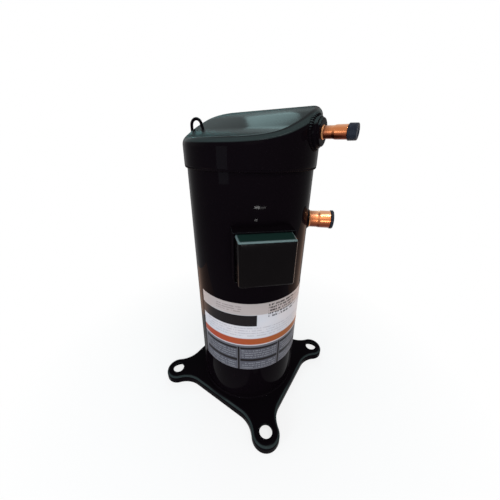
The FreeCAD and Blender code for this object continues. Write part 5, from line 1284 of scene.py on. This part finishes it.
class AddStubs(bpy.types.Operator):
    """Build the discharge and suction fittings, their copper stubs and their plugs"""

    bl_idname = "compressor.add_stubs"
    bl_label = "Stubs and plugs"

    def execute(self, context):
        sizes, colours = context.scene.compressor_sizes, context.scene.compressor_colours
        paint, alloy = paint_material(context), brazed_alloy()
        copper, rubber = tuple(colours.copper), moulded_rubber(tuple(colours.rubber))
        build_discharge(sizes, paint, drawn_copper(copper, 0.0, 0.0925), rubber, alloy)
        build_suction(sizes, paint, drawn_copper(copper, sizes.suction_azimuth, 0.0848), rubber, alloy)
        return {"FINISHED"}


class AddWiringBox(bpy.types.Operator):
    """Build the fence of the wiring box and its moulded cover"""

    bl_idname = "compressor.add_wiring_box"
    bl_label = "Wiring box"

    def execute(self, context):
        plastic = moulded_plastic(tuple(context.scene.compressor_colours.plastic))
        build_box(context.scene.compressor_sizes, paint_material(context), plastic)
        return {"FINISHED"}


class AddLabel(bpy.types.Operator):
    """Build the bare label"""

    bl_idname = "compressor.add_label"
    bl_label = "Label"

    def execute(self, context):
        colours = context.scene.compressor_colours
        vinyl = bare_label(tuple(colours.label), tuple(colours.stripe))
        build_label(context.scene.compressor_sizes, vinyl)
        return {"FINISHED"}


class FinishFrame(bpy.types.Operator):
    """Give the frame's own pieces their finishes"""

    bl_idname = "compressor.finish_frame"
    bl_label = "Frame finishes"

    def execute(self, context):
        finish_frame_nodes()
        return {"FINISHED"}


class AddStage(bpy.types.Operator):
    """Build the floor, the world and the lamps"""

    bl_idname = "compressor.add_stage"
    bl_label = "Stage"

    def execute(self, context):
        build_stage()
        return {"FINISHED"}


OPERATORS = (
    AddCamera, AddShell, AddCap, AddBase, AddLug, AddStubs, AddWiringBox, AddLabel, FinishFrame, AddStage
)


class CompressorPanel(bpy.types.Panel):
    """Lists the operators, sizes and colours"""

    bl_idname = "VIEW3D_PT_compressor"
    bl_label = "Compressor"
    bl_space_type = "VIEW_3D"
    bl_region_type = "UI"
    bl_category = "Compressor"

    def draw(self, context):
        for operator in OPERATORS:
            self.layout.operator(operator.bl_idname)
        for group in (context.scene.compressor_sizes, context.scene.compressor_colours):
            column = self.layout.column(align=True)
            for name in group.__annotations__:
                column.prop(group, name)


CLASSES = (CompressorSizes, CompressorColours) + OPERATORS + (CompressorPanel,)


def register():
    """Registers the classes and puts the property groups on the scene."""
    for item in CLASSES:
        bpy.utils.register_class(item)
    bpy.types.Scene.compressor_sizes = bpy.props.PointerProperty(type=CompressorSizes)
    bpy.types.Scene.compressor_colours = bpy.props.PointerProperty(type=CompressorColours)


def unregister():
    """Takes the property groups and the classes away again."""
    del bpy.types.Scene.compressor_colours
    del bpy.types.Scene.compressor_sizes
    for item in reversed(CLASSES):
        bpy.utils.unregister_class(item)


def main():
    """Builds every piece in order."""
    register()
    bpy.ops.compressor.add_camera()
    bpy.ops.compressor.add_shell()
    bpy.ops.compressor.add_cap()
    bpy.ops.compressor.add_base()
    bpy.ops.compressor.add_lug()
    bpy.ops.compressor.add_stubs()
    bpy.ops.compressor.add_wiring_box()
    bpy.ops.compressor.add_label()
    bpy.ops.compressor.finish_frame()
    bpy.ops.compressor.add_stage()


if __name__ == "__main__":
    main()
